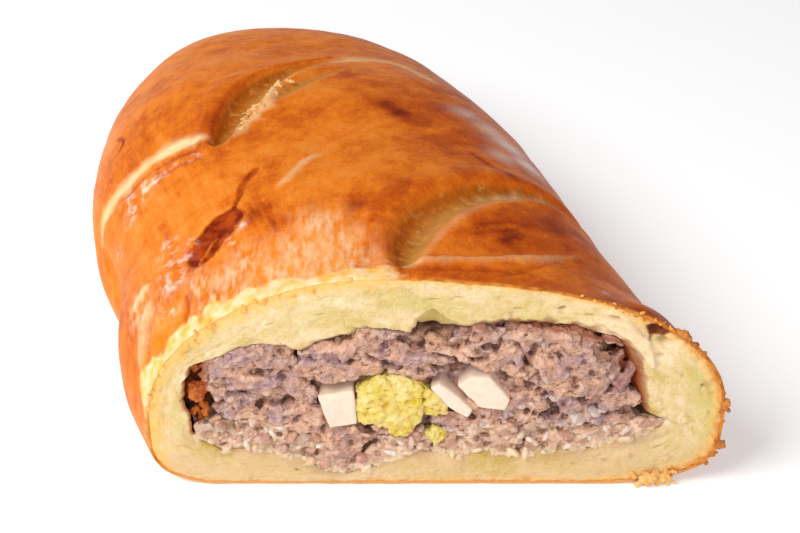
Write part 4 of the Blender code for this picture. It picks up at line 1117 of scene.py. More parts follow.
# Boiled yolk: a heap of crumbly grains inside the outline
def yolkPiece(name, seed):
    draw = np.random.default_rng(seed)
    outline, depth, out = eggPieces[name]
    corners = np.array(outline) * mm
    middle = corners.mean(0)
    after = np.roll(corners, -1, 0)
    x, z = corners.T
    area = 0.5 * abs(np.dot(x, np.roll(z, 1)) - np.dot(z, np.roll(x, 1)))
    spots = []
    for _ in range(int(area / (0.6 * mm) ** 2)):
        a, b = draw.integers(0, len(corners)), draw.uniform(0, 1)
        edgePoint = corners[a] * b + after[a] * (1 - b)
        share = math.sqrt(draw.uniform(0, 1)) * 0.93
        x, z = middle + (edgePoint - middle) * share
        spots.append((x, -out * mm * (1 - 0.55 * share**3) + draw.uniform(0, 0.0016) + 0.0006, z))
    count = len(spots)
    size = draw.uniform(0.45, 1.15, count) * mm
    sizes = np.stack([size * draw.uniform(0.9, 1.5, count), size, size], 1)
    rotations = turned(draw.uniform(-1, 1, count), np.zeros(count), draw.uniform(-2, 2, count))
    grains = ballCloud("grains", np.array(spots), sizes, rotations, 0.38, 2, seed)
    rings = []
    far = depth * mm
    for y, shrink in ((0.0, 0.5), (0.0002, 0.9), (0.002, 0.97), (far * 0.6, 0.85), (far, 0.6)):
        ring = middle + (corners - middle) * shrink
        rings.append(np.stack([ring[:, 0], np.full(len(ring), y + 0.0003), ring[:, 1]], 1))
    piece = joined(name, [closedTube("body", rings), grains])
    mesh = remeshed(piece, 0.00034)
    setPoints(mesh, roughened(mesh, ((1400, 2.0, 0.00026), (500, 5.0, 0.0004))))
    # painted shade: darker in the crevices between the grains
    paint(mesh, "creviceShade", smoothStep(0.0, 0.0004, depthBelow(mesh, 14)))
    return piece


print("mince")
minceObject = mincePiece()
print("rice")
riceObject = ricePiece()
print("egg")
eggObjects = {}
for number, name in enumerate(eggPieces):
    eggObjects[name] = whitePiece(name) if "white" in name else yolkPiece(name, 20 + number)


# Node groups: the default of each socket tells its kind, and None stands for geometry
socketKinds = {float: "Float", int: "Int", tuple: "Vector", type(None): "Geometry"}


def newGroup(name, kind, inputs, outputs):
    tree = bpy.data.node_groups.new(name, kind)
    for way, sockets in (("INPUT", inputs), ("OUTPUT", outputs)):
        for label, value in sockets.items():
            socketKind = "NodeSocket" + socketKinds[type(value)]
            socket = tree.interface.new_socket(label, in_out=way, socket_type=socketKind)
            if value is not None:
                socket.default_value = value
    return tree, tree.nodes.new("NodeGroupInput").outputs, tree.nodes.new("NodeGroupOutput").inputs


def addNode(tree, kind, inputs=None, **settings):
    made = tree.nodes.new(kind)
    for key, value in settings.items():
        setattr(made, key, value)
    for key, value in (inputs or {}).items():
        socket = made.inputs[key]
        if isinstance(value, Value):
            value = value.socket
        if isinstance(value, bpy.types.NodeSocket):
            tree.links.new(value, socket)
        elif socket.type == "RGBA":
            socket.default_value = (*value, 1.0)
        else:
            socket.default_value = value
    return made


# A socket's value that can be added, taken away and multiplied like a number
class Value:
    def __init__(self, tree, socket):
        self.tree = tree
        self.socket = socket

    def worked(self, operation, first, second):
        made = addNode(self.tree, "ShaderNodeMath", {0: first, 1: second}, operation=operation)
        return Value(self.tree, made.outputs[0])

    def __add__(self, other):
        return self.worked("ADD", self, other)

    def __sub__(self, other):
        return self.worked("SUBTRACT", self, other)

    def __rsub__(self, other):
        return self.worked("SUBTRACT", other, self)

    def __mul__(self, other):
        return self.worked("MULTIPLY", self, other)

    def orMore(self, other):
        return self.worked("MAXIMUM", self, other)

    def held(self):  # between 0 and 1
        self.socket.node.use_clamp = True
        return self


def noiseValue(tree, where, scale, detail=3.0, roughness=0.55):
    made = addNode(tree, "ShaderNodeTexNoise", {"Vector": where, "Scale": scale, "Detail": detail,
                                                "Roughness": roughness})
    return Value(tree, made.outputs["Fac"])


# A push whose direction changes from place to place
def wander(tree, where, scale, detail, amount):
    drift = addNode(tree, "ShaderNodeTexNoise", {"Vector": where, "Scale": scale, "Detail": detail})
    centred = addNode(tree, "ShaderNodeVectorMath", {0: drift.outputs["Color"], 1: (0.5, 0.5, 0.5)},
                      operation="SUBTRACT")
    return addNode(tree, "ShaderNodeVectorMath", {0: centred.outputs[0], "Scale": amount},
                   operation="SCALE").outputs[0]


# Stretched, uneven little bodies on the front of a surface
def scatterTree(name, material):
    tree, given, result = newGroup(name, "GeometryNodeTree", {
        "Geometry": None, "Facing": -0.25, "Spacing": 0.003, "Density": 50000.0, "Seed": 1, "Stand out": 0.0,
        "Half length": 0.003, "Half width": 0.001, "Crag": 0.0002, "Crag scale": 300.0}, {"Geometry": None})
    seed = given["Seed"]
    facing = addNode(tree, "GeometryNodeInputNormal")
    parts = addNode(tree, "ShaderNodeSeparateXYZ", {"Vector": facing.outputs[0]})
    isFront = addNode(tree, "FunctionNodeCompare", {0: parts.outputs["Y"], 1: given["Facing"]},
                      data_type="FLOAT", operation="LESS_THAN")
    spread = addNode(tree, "GeometryNodeDistributePointsOnFaces", {
        "Mesh": given["Geometry"], "Selection": isFront.outputs[0], "Distance Min": given["Spacing"],
        "Density Max": given["Density"], "Seed": seed}, distribute_method="POISSON")
    sunk = addNode(tree, "ShaderNodeVectorMath", {0: spread.outputs["Normal"], "Scale": given["Stand out"]},
                   operation="SCALE")
    moved = addNode(tree, "GeometryNodeSetPosition", {
        "Geometry": spread.outputs["Points"], "Offset": sunk.outputs[0]})
    ball = addNode(tree, "GeometryNodeMeshUVSphere", {"Segments": 8, "Rings": 6, "Radius": 1.0})
    size = addNode(tree, "ShaderNodeCombineXYZ", {0: given["Half length"], 1: given["Half width"],
                                                  2: given["Half width"]})
    grain = addNode(tree, "GeometryNodeTransform", {
        "Geometry": ball.outputs["Mesh"], "Scale": size.outputs[0]})
    spin = addNode(tree, "FunctionNodeRandomValue", {
        0: (-0.35, -0.35, -3.14), 1: (0.35, 0.35, 3.14), "Seed": seed}, data_type="FLOAT_VECTOR")
    asTurn = addNode(tree, "FunctionNodeEulerToRotation", {0: spin.outputs[0]})
    turn = addNode(tree, "FunctionNodeRotateRotation", {0: spread.outputs["Rotation"], 1: asTurn.outputs[0]},
                   rotation_space="LOCAL")
    scale = addNode(tree, "FunctionNodeRandomValue", {2: 0.65, 3: 1.15, "Seed": seed}, data_type="FLOAT")
    placed = addNode(tree, "GeometryNodeInstanceOnPoints", {
        "Points": moved.outputs[0], "Instance": grain.outputs[0], "Rotation": turn.outputs[0],
        "Scale": scale.outputs[1]})
    real = addNode(tree, "GeometryNodeRealizeInstances", {0: placed.outputs[0]})
    place = addNode(tree, "GeometryNodeInputPosition").outputs[0]
    push = wander(tree, place, given["Crag scale"], 1.0, given["Crag"])
    rough = addNode(tree, "GeometryNodeSetPosition", {0: real.outputs[0], "Offset": push})
    smooth = addNode(tree, "GeometryNodeSetShadeSmooth", {0: rough.outputs[0]})
    finish = addNode(tree, "GeometryNodeSetMaterial", {0: smooth.outputs[0], "Material": material})
    tree.links.new(finish.outputs[0], result[0])
    return tree


# Runs a tree on a copy of a surface, and keeps the result as a plain mesh
def scattered(name, surfacePiece, material, values):
    tree = scatterTree(name + "Scatter", material)
    source = addObject(name + "Source", surfacePiece.data)
    change = source.modifiers.new("scatter", "NODES")
    change.node_group = tree
    for item in tree.interface.items_tree:
        if item.in_out == "INPUT" and item.name in values:
            change[item.identifier] = values[item.name]
    mesh = evaluatedMesh(source)
    bpy.data.objects.remove(source)
    return addObject(name, mesh)


def putOut(tree, result, values):
    for label, value in values.items():
        tree.links.new(value.socket, result[label])
    return tree


# Uneven tone at three scales, put out as a value about 0.5, and a fine relief
def mottleGroup():
    tree, given, result = newGroup("mottle", "ShaderNodeTree", {
        "Where": (0.0, 0.0, 0.0), "Broad": 30.0, "Middle": 150.0, "Fine": 900.0, "Amount": 1.0},
        {"Tone": 0.0, "Relief": 0.0})
    broad, middle, fine = (noiseValue(tree, given["Where"], given[label]) - 0.5
                           for label in ("Broad", "Middle", "Fine"))
    tone = (broad + middle * 0.8 + fine * 0.5) * given["Amount"] + 0.5
    return putOut(tree, result, {"Tone": tone, "Relief": fine * 0.6 + middle})


# Scattered little specks or pores, from 0 to 1
def speckGroup():
    tree, given, result = newGroup("specks", "ShaderNodeTree", {
        "Where": (0.0, 0.0, 0.0), "Scale": 600.0, "Size": 0.3, "Share": 0.5}, {"Specks": 0.0})
    cells = addNode(tree, "ShaderNodeTexVoronoi", {"Vector": given["Where"], "Scale": given["Scale"]})
    small = addNode(tree, "ShaderNodeMapRange", {
        "Value": cells.outputs["Distance"], "From Min": given["Size"], "From Max": 0.0},
        interpolation_type="SMOOTHSTEP")
    pick = addNode(tree, "ShaderNodeSeparateColor", {0: cells.outputs["Color"]})
    chosen = Value(tree, pick.outputs[0]).worked("LESS_THAN", pick.outputs[0], given["Share"])
    return putOut(tree, result, {"Specks": chosen * small.outputs[0]})


# Little bits side by side: their height, the cracks between them and a tone for each, from 0 to 1
def crumbleGroup():
    tree, given, result = newGroup("crumble", "ShaderNodeTree", {
        "Where": (0.0, 0.0, 0.0), "Scale": 900.0, "Warp": 0.0006, "Crack": 0.16},
        {"Height": 0.0, "Cracks": 0.0, "Tone": 0.0})
    push = wander(tree, given["Where"], 700.0, 2.0, given["Warp"])
    moved = addNode(tree, "ShaderNodeVectorMath", {0: given["Where"], 1: push}, operation="ADD").outputs[0]
    edges = addNode(tree, "ShaderNodeTexVoronoi", {"Vector": moved, "Scale": given["Scale"]},
                    feature="DISTANCE_TO_EDGE")
    high = addNode(tree, "ShaderNodeMapRange", {
        "Value": edges.outputs["Distance"], "From Min": 0.0, "From Max": given["Crack"]},
        interpolation_type="SMOOTHSTEP")
    cells = addNode(tree, "ShaderNodeTexVoronoi", {"Vector": moved, "Scale": given["Scale"]})
    pick = addNode(tree, "ShaderNodeSeparateColor", {0: cells.outputs["Color"]})
    height, tone = Value(tree, high.outputs[0]), Value(tree, pick.outputs[0])
    return putOut(tree, result, {"Height": height, "Cracks": 1.0 - height, "Tone": tone})


mottleTree = mottleGroup()
speckTree = speckGroup()
crumbleTree = crumbleGroup()


# A material in the making: its tree, its Principled shader and the colour reached so far
class Finish:
    def __init__(self, name, settings):
        self.material = bpy.data.materials.new(name)
        self.material.use_nodes = True
        self.tree = self.material.node_tree
        self.shader = self.tree.nodes["Principled BSDF"]
        for key, value in settings.items():
            self.shader.inputs[key].default_value = value
        self.where = addNode(self.tree, "ShaderNodeTexCoord").outputs["Object"]

    def painted(self, name):
        return addNode(self.tree, "ShaderNodeAttribute", attribute_name=name).outputs

    def mask(self, name):
        return Value(self.tree, self.painted(name)["Fac"])

    def stretched(self, where, scale):
        return addNode(self.tree, "ShaderNodeMapping", {"Vector": where, "Scale": scale}).outputs[0]

    def noise(self, scale, detail=3.0, where=None, roughness=0.55):
        return noiseValue(self.tree, where or self.where, scale, detail, roughness)

    def patches(self, scale, level, gain, detail=3.0, where=None):  # where noise is above a level
        return ((self.noise(scale, detail, where) - level) * gain).held()

    def group(self, tree, inputs):
        made = addNode(self.tree, "ShaderNodeGroup", inputs, node_tree=tree)
        return [Value(self.tree, socket) for socket in made.outputs]

    def mottle(self, broad, middle, fine, amount, where=None):
        return self.group(mottleTree, {
            "Where": where or self.where, "Broad": broad, "Middle": middle, "Fine": fine, "Amount": amount})

    def specks(self, scale, size, share):
        return self.group(speckTree, {"Where": self.where, "Scale": scale, "Size": size, "Share": share})[0]

    def crumble(self, scale, warp, crack):
        return self.group(crumbleTree, {"Where": self.where, "Scale": scale, "Warp": warp, "Crack": crack})

    def mixed(self, share, first, second):
        made = addNode(self.tree, "ShaderNodeMix", data_type="RGBA", clamp_factor=True)
        for socket, value in ((made.inputs[6], first), (made.inputs[7], second), (made.inputs[0], share)):
            if isinstance(value, tuple):
                socket.default_value = (*value, 1.0)
            else:
                self.tree.links.new(getattr(value, "socket", value), socket)
        return made.outputs[2]

    def ramp(self, value, stops):
        made = addNode(self.tree, "ShaderNodeValToRGB", {0: value})
        elements = made.color_ramp.elements
        while len(elements) < len(stops):
            elements.new(0.5)
        for element, (place, colour) in zip(elements, stops):
            element.position = place
            element.color = (*colour, 1.0)
        self.colour = made.outputs["Color"]

    def cover(self, share, colour):
        self.colour = self.mixed(share, self.colour, colour)

    def finished(self, rough, relief, distance, strength, coat=None):
        bump = addNode(self.tree, "ShaderNodeBump", {
            "Height": relief, "Distance": distance, "Strength": strength}).outputs[0]
        sockets = {"Base Color": self.colour, "Roughness": rough.socket, "Normal": bump}
        if coat:
            sockets["Coat Weight"] = coat.socket
        for label, socket in sockets.items():
            self.tree.links.new(socket, self.shader.inputs[label])
        return self.material


crustLook = {
    "tones": ((0.0, (0.91, 0.48, 0.17)), (0.26, (0.87, 0.31, 0.052)), (0.48, (0.80, 0.205, 0.013)),
              (0.68, (0.56, 0.098, 0.006)), (0.86, (0.34, 0.044, 0.005)), (1.0, (0.20, 0.022, 0.004))),
    "middleTone": 0.51,
    "grain": (0.52, 0.11, 0.008),
    "dry": (0.93, 0.60, 0.35),
    "floorDark": (0.41, 0.098, 0.007),
    "floor": (0.45, 0.165, 0.019),
    "floorLight": (0.62, 0.32, 0.085),
    "floorTorn": (0.80, 0.45, 0.15),
    "pale": (0.93, 0.70, 0.39),
    "paleGold": (0.90, 0.58, 0.20),
    "paleDot": (0.52, 0.22, 0.045),
    # painted sheen colour for the satin places
    "paintedSheen": (0.74, 0.52, 0.42),
    "caramel": (0.19, 0.014, 0.001),
    "caramelLight": (0.58, 0.080, 0.003),
    "base": (0.66, 0.36, 0.14),
    "rim": (0.66, 0.235, 0.036),
    "rimDark": (0.40, 0.105, 0.013),
    "lip": (0.90, 0.68, 0.38),
    "lipGold": (0.94, 0.49, 0.10),
    # painted highlight colour for the glossy places
    "paintedGlint": (1.0, 0.88, 0.76),
    "baseSpeck": (0.22, 0.08, 0.025),
}


def crustMaterial():
    look = crustLook
    made = Finish("bakedCrust", {
        "Coat Roughness": 0.16, "Coat IOR": 1.38, "Specular IOR Level": 0.02, "Subsurface Weight": 0.06,
        "Subsurface Scale": 0.002, "Subsurface Radius": (1.0, 0.4, 0.15)})
    mask, patches, mixed = made.mask, made.patches, made.mixed
    mottle, relief = made.mottle(40.0, 190.0, 900.0, 0.50)
    flow = made.stretched(made.painted("flow")["Vector"], (0.45, 1.0, 0.7))
    streaks, _ = made.mottle(60.0, 150.0, 420.0, 0.28, flow)
    made.ramp(mask("brown") + mottle + streaks - (1.0 - look["middleTone"]), look["tones"])
    made.cover(made.specks(1150.0, 0.36, 0.45) * 0.16, look["grain"])
    dry = patches(560.0, 0.38, 4.2, where=made.stretched(made.where, (1.0, 0.30, 0.7)))
    made.cover(mask("dry") * (dry * 0.75), look["dry"])
    floorTone = mixed(mask("light"), look["floorDark"], look["floor"])
    floorTone = mixed((mask("light") * (streaks * 1.1)).held(), floorTone, look["floorLight"])
    floorTone = mixed(patches(420.0, 0.54, 6.0) * 0.42, floorTone, look["floorTorn"])
    made.cover(mask("floor") * 0.9, floorTone)
    paleTone = mixed(patches(150.0, 0.42, 4.0, 4.0) * 0.8, look["pale"], look["paleGold"])
    paleTone = mixed(made.specks(800.0, 0.40, 0.30) * 0.6, paleTone, look["paleDot"])
    made.cover(mask("pale"), paleTone)
    made.cover(mask("caramel"), mixed(patches(190.0, 0.40, 3.6), look["caramel"], look["caramelLight"]))
    ragged = (((made.noise(380.0) + 0.34) * mask("lip") - 0.34) * 4.0).held()
    made.cover(ragged, mixed(patches(240.0, 0.38, 4.4), look["lip"], look["lipGold"]))
    made.cover(mask("base"), mixed(made.specks(420.0, 0.26, 0.35), look["base"], look["baseSpeck"]))
    rimShare = mask("rim") * (1.0 - (mask("base") * 0.75 + mask("lip")).held())
    made.cover(rimShare, mixed(patches(420.0, 0.40, 4.0), look["rim"], look["rimDark"]))
    # painted highlights: pale glints mixed into the colour in the glossy places, besides their extra coat
    made.cover(mask("glossAndGlint") * (patches(330.0, 0.475, 5.0) * 0.75), look["paintedGlint"])
    # painted sheen: a pale haze mixed into the colour where the glaze is satin, besides its extra coat
    satinAndPaintedSheen = mask("satinAndPaintedSheen") * streaks
    made.cover(satinAndPaintedSheen, look["paintedSheen"])
    dull = mask("floor").orMore(mask("rim")).orMore(mask("base"))
    coat = ((1.0 - dull) * 0.05).held()
    for extra in (mask("caramel") * 0.02, mask("glossAndGlint") * 0.22, satinAndPaintedSheen * 1.3):
        coat = (coat + extra).held()
    rough = made.noise(210.0) * 0.22 + 0.28 + dull * 0.22
    height = made.noise(800.0, 4.0, roughness=0.6) * 0.45 + relief * 0.55
    return made.finished(rough, height, 0.0007, 0.55, coat)


crumbLook = {
    "light": (0.845, 0.665, 0.435),
    "dark": (0.66, 0.46, 0.18),
    "green": (0.59, 0.475, 0.15),
    # darker tone towards the bottom, partly painted shade
    "low": (0.64, 0.43, 0.22),
    "tan": (0.52, 0.31, 0.18),
    "gold": (0.86, 0.48, 0.11),
    # painted shade colour for the pores
    "poreShadeAndStreak": (0.40, 0.25, 0.07),
    "stain": (0.50, 0.34, 0.03),
    "wet": (0.46, 0.15, 0.05),
    "wetDark": (0.13, 0.022, 0.010),
    "olive": (0.50, 0.35, 0.10),
    "fold": (0.88, 0.65, 0.43),
    "burnt": (0.070, 0.010, 0.002),
    "burntLight": (0.30, 0.060, 0.008),
    "juiceAndShade": (0.16, 0.018, 0.004),
    "juiceLight": (0.46, 0.11, 0.014),
    "rim": (0.52, 0.165, 0.022),
    "rimLight": (0.78, 0.38, 0.10),
    "speck": (0.07, 0.04, 0.015),
}


def crumbMaterial():
    look = crumbLook
    made = Finish("softCrumb", {
        "Specular IOR Level": 0.3, "Subsurface Weight": 0.22, "Subsurface Scale": 0.0022,
        "Subsurface Radius": (1.0, 0.62, 0.3)})
    mask, noise, mixed = made.mask, made.noise, made.mixed
    swirl = made.painted("swirl")["Vector"]
    mottle, relief = made.mottle(90.0, 420.0, 1500.0, 1.4)
    streaks, _ = made.mottle(140.0, 430.0, 1400.0, 1.5, swirl)
    made.colour = mixed(mottle + streaks - 0.5, look["light"], look["dark"])
    made.cover(made.patches(95.0, 0.48, 4.5, 2.0, swirl) * 0.75, look["green"])
    for name, share in (("low", 0.7), ("tan", 0.75), ("poreShadeAndStreak", 0.65)):
        made.cover(mask(name) * share, look[name])
    made.cover(mask("stain") * (mottle * 1.7), look["stain"])
    made.cover(made.specks(900.0, 0.30, 0.22) * mask("stain"), look["speck"])
    made.cover(mask("gold") * 0.8, look["gold"])
    made.cover(mask("rim"), mixed(mottle, look["rim"], look["rimLight"]))
    made.cover(mask("wet") * 0.9, mixed(noise(260.0), look["wetDark"], look["wet"]))
    # partly juice, partly painted shade in the left hollow
    made.cover(mask("juiceAndShade"), mixed(noise(330.0), look["juiceAndShade"], look["juiceLight"]))
    for name, share in (("olive", 0.9), ("fold", 0.6)):
        made.cover(mask(name) * share, look[name])
    made.cover(mask("burnt"), mixed(noise(300.0), look["burnt"], look["burntLight"]))
    height = relief - made.specks(1300.0, 0.42, 0.6) * 0.6
    return made.finished(0.78 - mask("wet") * 0.35, height, 0.0004, 0.7)


meatLook = {
    "tones": ((0.16, (0.37, 0.205, 0.215)), (0.40, (0.48, 0.28, 0.238)), (0.66, (0.49, 0.248, 0.168)),
              (0.98, (0.69, 0.385, 0.245))),  # mauve, grey, brown and peach
    # the crevice colour is painted shade
    "creviceShade": (0.085, 0.020, 0.012),
    "fatAndHighlight": (0.85, 0.64, 0.53),
    "blood": (0.28, 0.065, 0.050),
    "crack": (0.25, 0.10, 0.08),
}


def meatMaterial():
    look = meatLook
    made = Finish("stewedMince", {
        "Coat Roughness": 0.2, "Subsurface Weight": 0.12, "Subsurface Scale": 0.0015,
        "Subsurface Radius": (1.0, 0.4, 0.25), "Specular IOR Level": 0.5})
    mask, patches = made.mask, made.patches
    mottle, relief = made.mottle(130.0, 480.0, 1700.0, 1.6)
    _, cracks, bits = made.crumble(420.0, 0.0022, 0.16)
    bulge, _, grains = made.crumble(1100.0, 0.0010, 0.20)
    strong = made.noise(210.0, where=made.stretched(made.where, (0.75, 0.75, 1.2))) - 0.5
    tone = mottle * 0.45 + mask("tint") * 0.50 + bits * 0.08 + grains * 0.10 + 0.06 + strong * 2.4
    made.ramp(tone, look["tones"])
    # painted highlights on the ridges, and pale specks that are partly fat and partly painted glints
    made.cover((mask("ridgeHighlight") * 0.36 + made.specks(520.0, 0.34, 0.14) * 0.45).held(), look["fatAndHighlight"])
    made.cover(patches(190.0, 0.62, 7.0, 2.0) * 0.6, look["blood"])
    made.cover(cracks * 0.06, look["crack"])
    # painted shade in the crevices and deep hollows
    made.cover(mask("creviceShade") * 0.88, look["creviceShade"])
    # partly juice, partly painted shade under the roof and in the hollows
    made.cover(mask("juiceAndShade"), made.mixed(made.noise(330.0), crumbLook["juiceAndShade"], crumbLook["juiceLight"]))
    return made.finished(made.noise(350.0) * 0.35 + 0.30, relief + bulge * 0.25, 0.0005, 0.8,
                         patches(200.0, 0.42, 1.6))


riceLook = {
    # the third tone of each is painted shade for the crevices
    "bed": ((0.74, 0.51, 0.36), (0.44, 0.23, 0.135), (0.24, 0.085, 0.04)),  # light, dark, crevice
    "grain": ((0.84, 0.68, 0.56), (0.66, 0.44, 0.32), (0.24, 0.085, 0.04)),
    "meatCrumb": ((0.62, 0.36, 0.26), (0.40, 0.19, 0.13), (0.24, 0.085, 0.04)),
    "onion": ((0.72, 0.58, 0.49), (0.46, 0.34, 0.30), (0.32, 0.19, 0.14)),
    "pink": (0.42, 0.17, 0.10),
    "clear": (0.56, 0.43, 0.35),
    "dough": (0.78, 0.56, 0.33),
}


def riceMaterial(name, kind):
    light, dark, creviceShade = riceLook[kind]
    made = Finish(name, {
        "Coat Roughness": 0.15, "Subsurface Weight": 0.35, "Subsurface Scale": 0.003,
        "Subsurface Radius": (1.0, 0.7, 0.5), "Specular IOR Level": 0.5})
    mottle, relief = made.mottle(150.0, 420.0, 1600.0, 1.8)
    _, cracks, grains = made.crumble(520.0, 0.0020, 0.14)
    made.colour = made.mixed(mottle * 0.6 + (grains - 0.25) * 0.9, light, dark)
    made.cover(made.patches(240.0, 0.55, 5.0, 2.0) * 0.7, riceLook["pink"])
    made.cover(made.patches(170.0, 0.55, 6.0, 1.0) * 0.5, riceLook["clear"])
    # painted shade in the cracks and crevices
    made.cover(cracks * 0.14, creviceShade)
    made.cover(made.mask("doughy") * 0.7, riceLook["dough"])
    made.cover(made.mask("creviceShade") * 0.85, creviceShade)
    return made.finished(made.noise(300.0) * 0.3 + 0.25, relief, 0.0003, 0.6, made.patches(240.0, 0.4, 1.5))


# Simple finishes: light and dark tone, mottle, gain and start of the roughness, relief and shader settings
yolkCreviceShade = (0.66, 0.38, 0.02)
crumbly = {"Specular IOR Level": 0.3, "Subsurface Weight": 0.1, "Subsurface Scale": 0.001}
ragTexture = ((200.0, 700.0, 2200.0, 1.8), (0.3, 0.45), (0.0005, 0.8), crumbly)
simpleLooks = {
    "crustRag": ((0.66, 0.25, 0.045), (0.34, 0.085, 0.012), *ragTexture),
    "softCrumbs": ((0.90, 0.52, 0.15), (0.85, 0.32, 0.045), *ragTexture),
    "tornDough": ((0.90, 0.62, 0.28), (0.72, 0.34, 0.08), *ragTexture),
    "toastedCrumb": ((0.88, 0.58, 0.22), (0.66, 0.28, 0.05), *ragTexture),
    "juicyBit": ((0.76, 0.21, 0.025), (0.22, 0.03, 0.006), *ragTexture),
    "boiledWhite": (
        (0.85, 0.69, 0.58), (0.79, 0.58, 0.42), (110.0, 500.0, 1500.0, 1.2), (0.25, 0.25), (0.0002, 0.35),
        {"Subsurface Weight": 0.35, "Subsurface Scale": 0.003, "Subsurface Radius": (1.0, 0.85, 0.7),
         "Specular IOR Level": 0.5, "Coat Roughness": 0.2}),
    "boiledYolk": (
        (0.83, 0.70, 0.33), (0.66, 0.46, 0.022), (160.0, 520.0, 2200.0, 1.7), (0.2, 0.55), (0.0005, 0.8),
        {"Subsurface Weight": 0.25, "Subsurface Scale": 0.002, "Subsurface Radius": (1.0, 0.75, 0.2),
         "Specular IOR Level": 0.3}),
}


def simpleMaterial(name):
    light, dark, scales, (gain, start), bump, settings = simpleLooks[name]
    made = Finish(name, settings)
    mottle, relief = made.mottle(*scales)
    made.colour = made.mixed(mottle, light, dark)
    if name == "boiledYolk":
        # painted shade in the crevices
        made.cover(made.mask("creviceShade") * 0.75, yolkCreviceShade)
    return made.finished(mottle * gain + start, relief, *bump)


# Torn bits on the cut's brown edge, crumbs under it, juicy bits in the left hollow and onion in the rice:
# across, height and radius in mm
heaps = {
    "rags": (
        (64, 50.6, 1.5), (65.8, 49.4, 1.3), (62.6, 52, 0.9), (67.4, 47.2, 0.9), (69.5, 44.5, 0.7),
        (75.4, 13.2, 1.6), (76.8, 13.8, 0.9), (74.6, 10.8, 1), (74.9, 27.6, 1.3), (75.8, 25.6, 1.1),
        (75.9, 21, 0.5), (73, 35.6, 0.5), (72.4, 7.6, 0.8),
    ),
    "hanging": (
        (58.5, 2.6, 1.7), (55.2, 2.2, 1.6), (61.8, 3.4, 1.5), (57, 1.5, 1.2), (60.2, 1.8, 1.2),
        (53.2, 3, 1), (62.6, 1.9, 0.9), (59.4, 4.2, 1.1), (56.2, 3.8, 1), (63.6, 4.8, 0.8),
    ),
    "juicy": (
        (-63.4, 30.6, 2.6), (-61.4, 30.2, 2.2), (-63, 37.4, 1.6), (-60.6, 37.8, 1.6), (-61.2, 24.6, 1.6),
        (-63.6, 27, 1.8), (-60.2, 33.4, 1.4), (-64.2, 22.4, 1.6), (-61.4, 21.6, 1.6), (-62.8, 19.6, 1.3),
    ),
    "onion": (
        (18.7, 24.6, 3.6), (20.8, 27.4, 2.8), (10.9, 20.4, 2.6), (34.9, 25.2, 3.4), (40.4, 22.3, 3),
        (43.9, 24.8, 2), (30, 29.2, 1.8), (-4.6, 17.6, 1.8), (24.8, 27, 1.8), (47, 20.4, 2),
        (3.6, 18.4, 1.7),
    ),
    "softCrumbs": 44,
    "softCrumbsRadius": (0.3, 0.8),
    "rimCrumbs": 26,
    "rimCrumbsRadius": (0.25, 0.5),
    "smallRags": 110,
    "smallRagsRadius": (0.14, 0.38),
    "strands": 10,
    "strandRadius": (0.7, 1.2),
    "seed": 31,
}


# Clusters of little balls about each spot (x, y, z, radius), melted into one craggy piece
def craggyHeap(name, spots, spread, voxel, crag, seed, clusters, relief):
    draw = np.random.default_rng(seed)
    rows = []
    for x, y, z, radius in spots:
        for k in range(clusters):
            away = draw.normal(0, spread * radius, 3) if k else np.zeros(3)
            rows.append((x + away[0], y + away[1] * 0.6, z + away[2], radius * draw.uniform(0.45, 0.8)))
    rows = np.array(rows)
    count = len(rows)
    sizes = rows[:, 3:] * mm * draw.uniform(0.7, 1.2, (count, 3))
    rotations = turned(draw.uniform(-1, 1, count), draw.uniform(-1, 1, count), draw.uniform(-3, 3, count))
    piece = ballCloud(name, rows[:, :3] * mm, sizes, rotations, crag, 2, seed)
    mesh = remeshed(piece, voxel)
    points = roughened(mesh, ((900, seed, relief),))
    points[:, 2] = np.maximum(points[:, 2], 0)
    setPoints(mesh, points)
    return piece


# Spots at random along the cut's rim
def alongEdge(draw, name, rows, inward):
    spots = []
    for row in draw.choice(rows, heaps[name]):
        radius = draw.uniform(*heaps[name + "Radius"])
        x, _, z = (cutEdge[row] - edgeOut[row] * draw.uniform(*inward)) / mm
        spots.append((x, 0.15, z, radius))
    return spots


def ragSpots():
    draw = np.random.default_rng(heaps["seed"])
    spots = []
    for x, z, radius in heaps["rags"]:
        row = np.hypot(cutEdge[:, 0] - x * mm, cutEdge[:, 2] - z * mm).argmin()
        x, _, z = cutEdge[row] / mm
        spots.append((x, 0.2, z, radius))
    onRight = np.flatnonzero((cutEdge[:, 0] > 0.045) & (cutEdge[:, 2] > 0.003))
    return spots + alongEdge(draw, "smallRags", onRight, (0.0, 0.0016))


def softCrumbSpots():
    draw = np.random.default_rng(heaps["seed"] + 1)
    onLeft = np.flatnonzero((cutEdge[:, 0] < -0.020) & (cutEdge[:, 2] > 0.024))
    onTop = np.flatnonzero((cutEdge[:, 0] > 0.034) & (cutEdge[:, 0] < 0.060) & (cutEdge[:, 2] > 0.040))
    spots = alongEdge(draw, "softCrumbs", onLeft, (0.0004, 0.0024))
    return spots + alongEdge(draw, "rimCrumbs", onTop, (-0.0002, 0.0012))


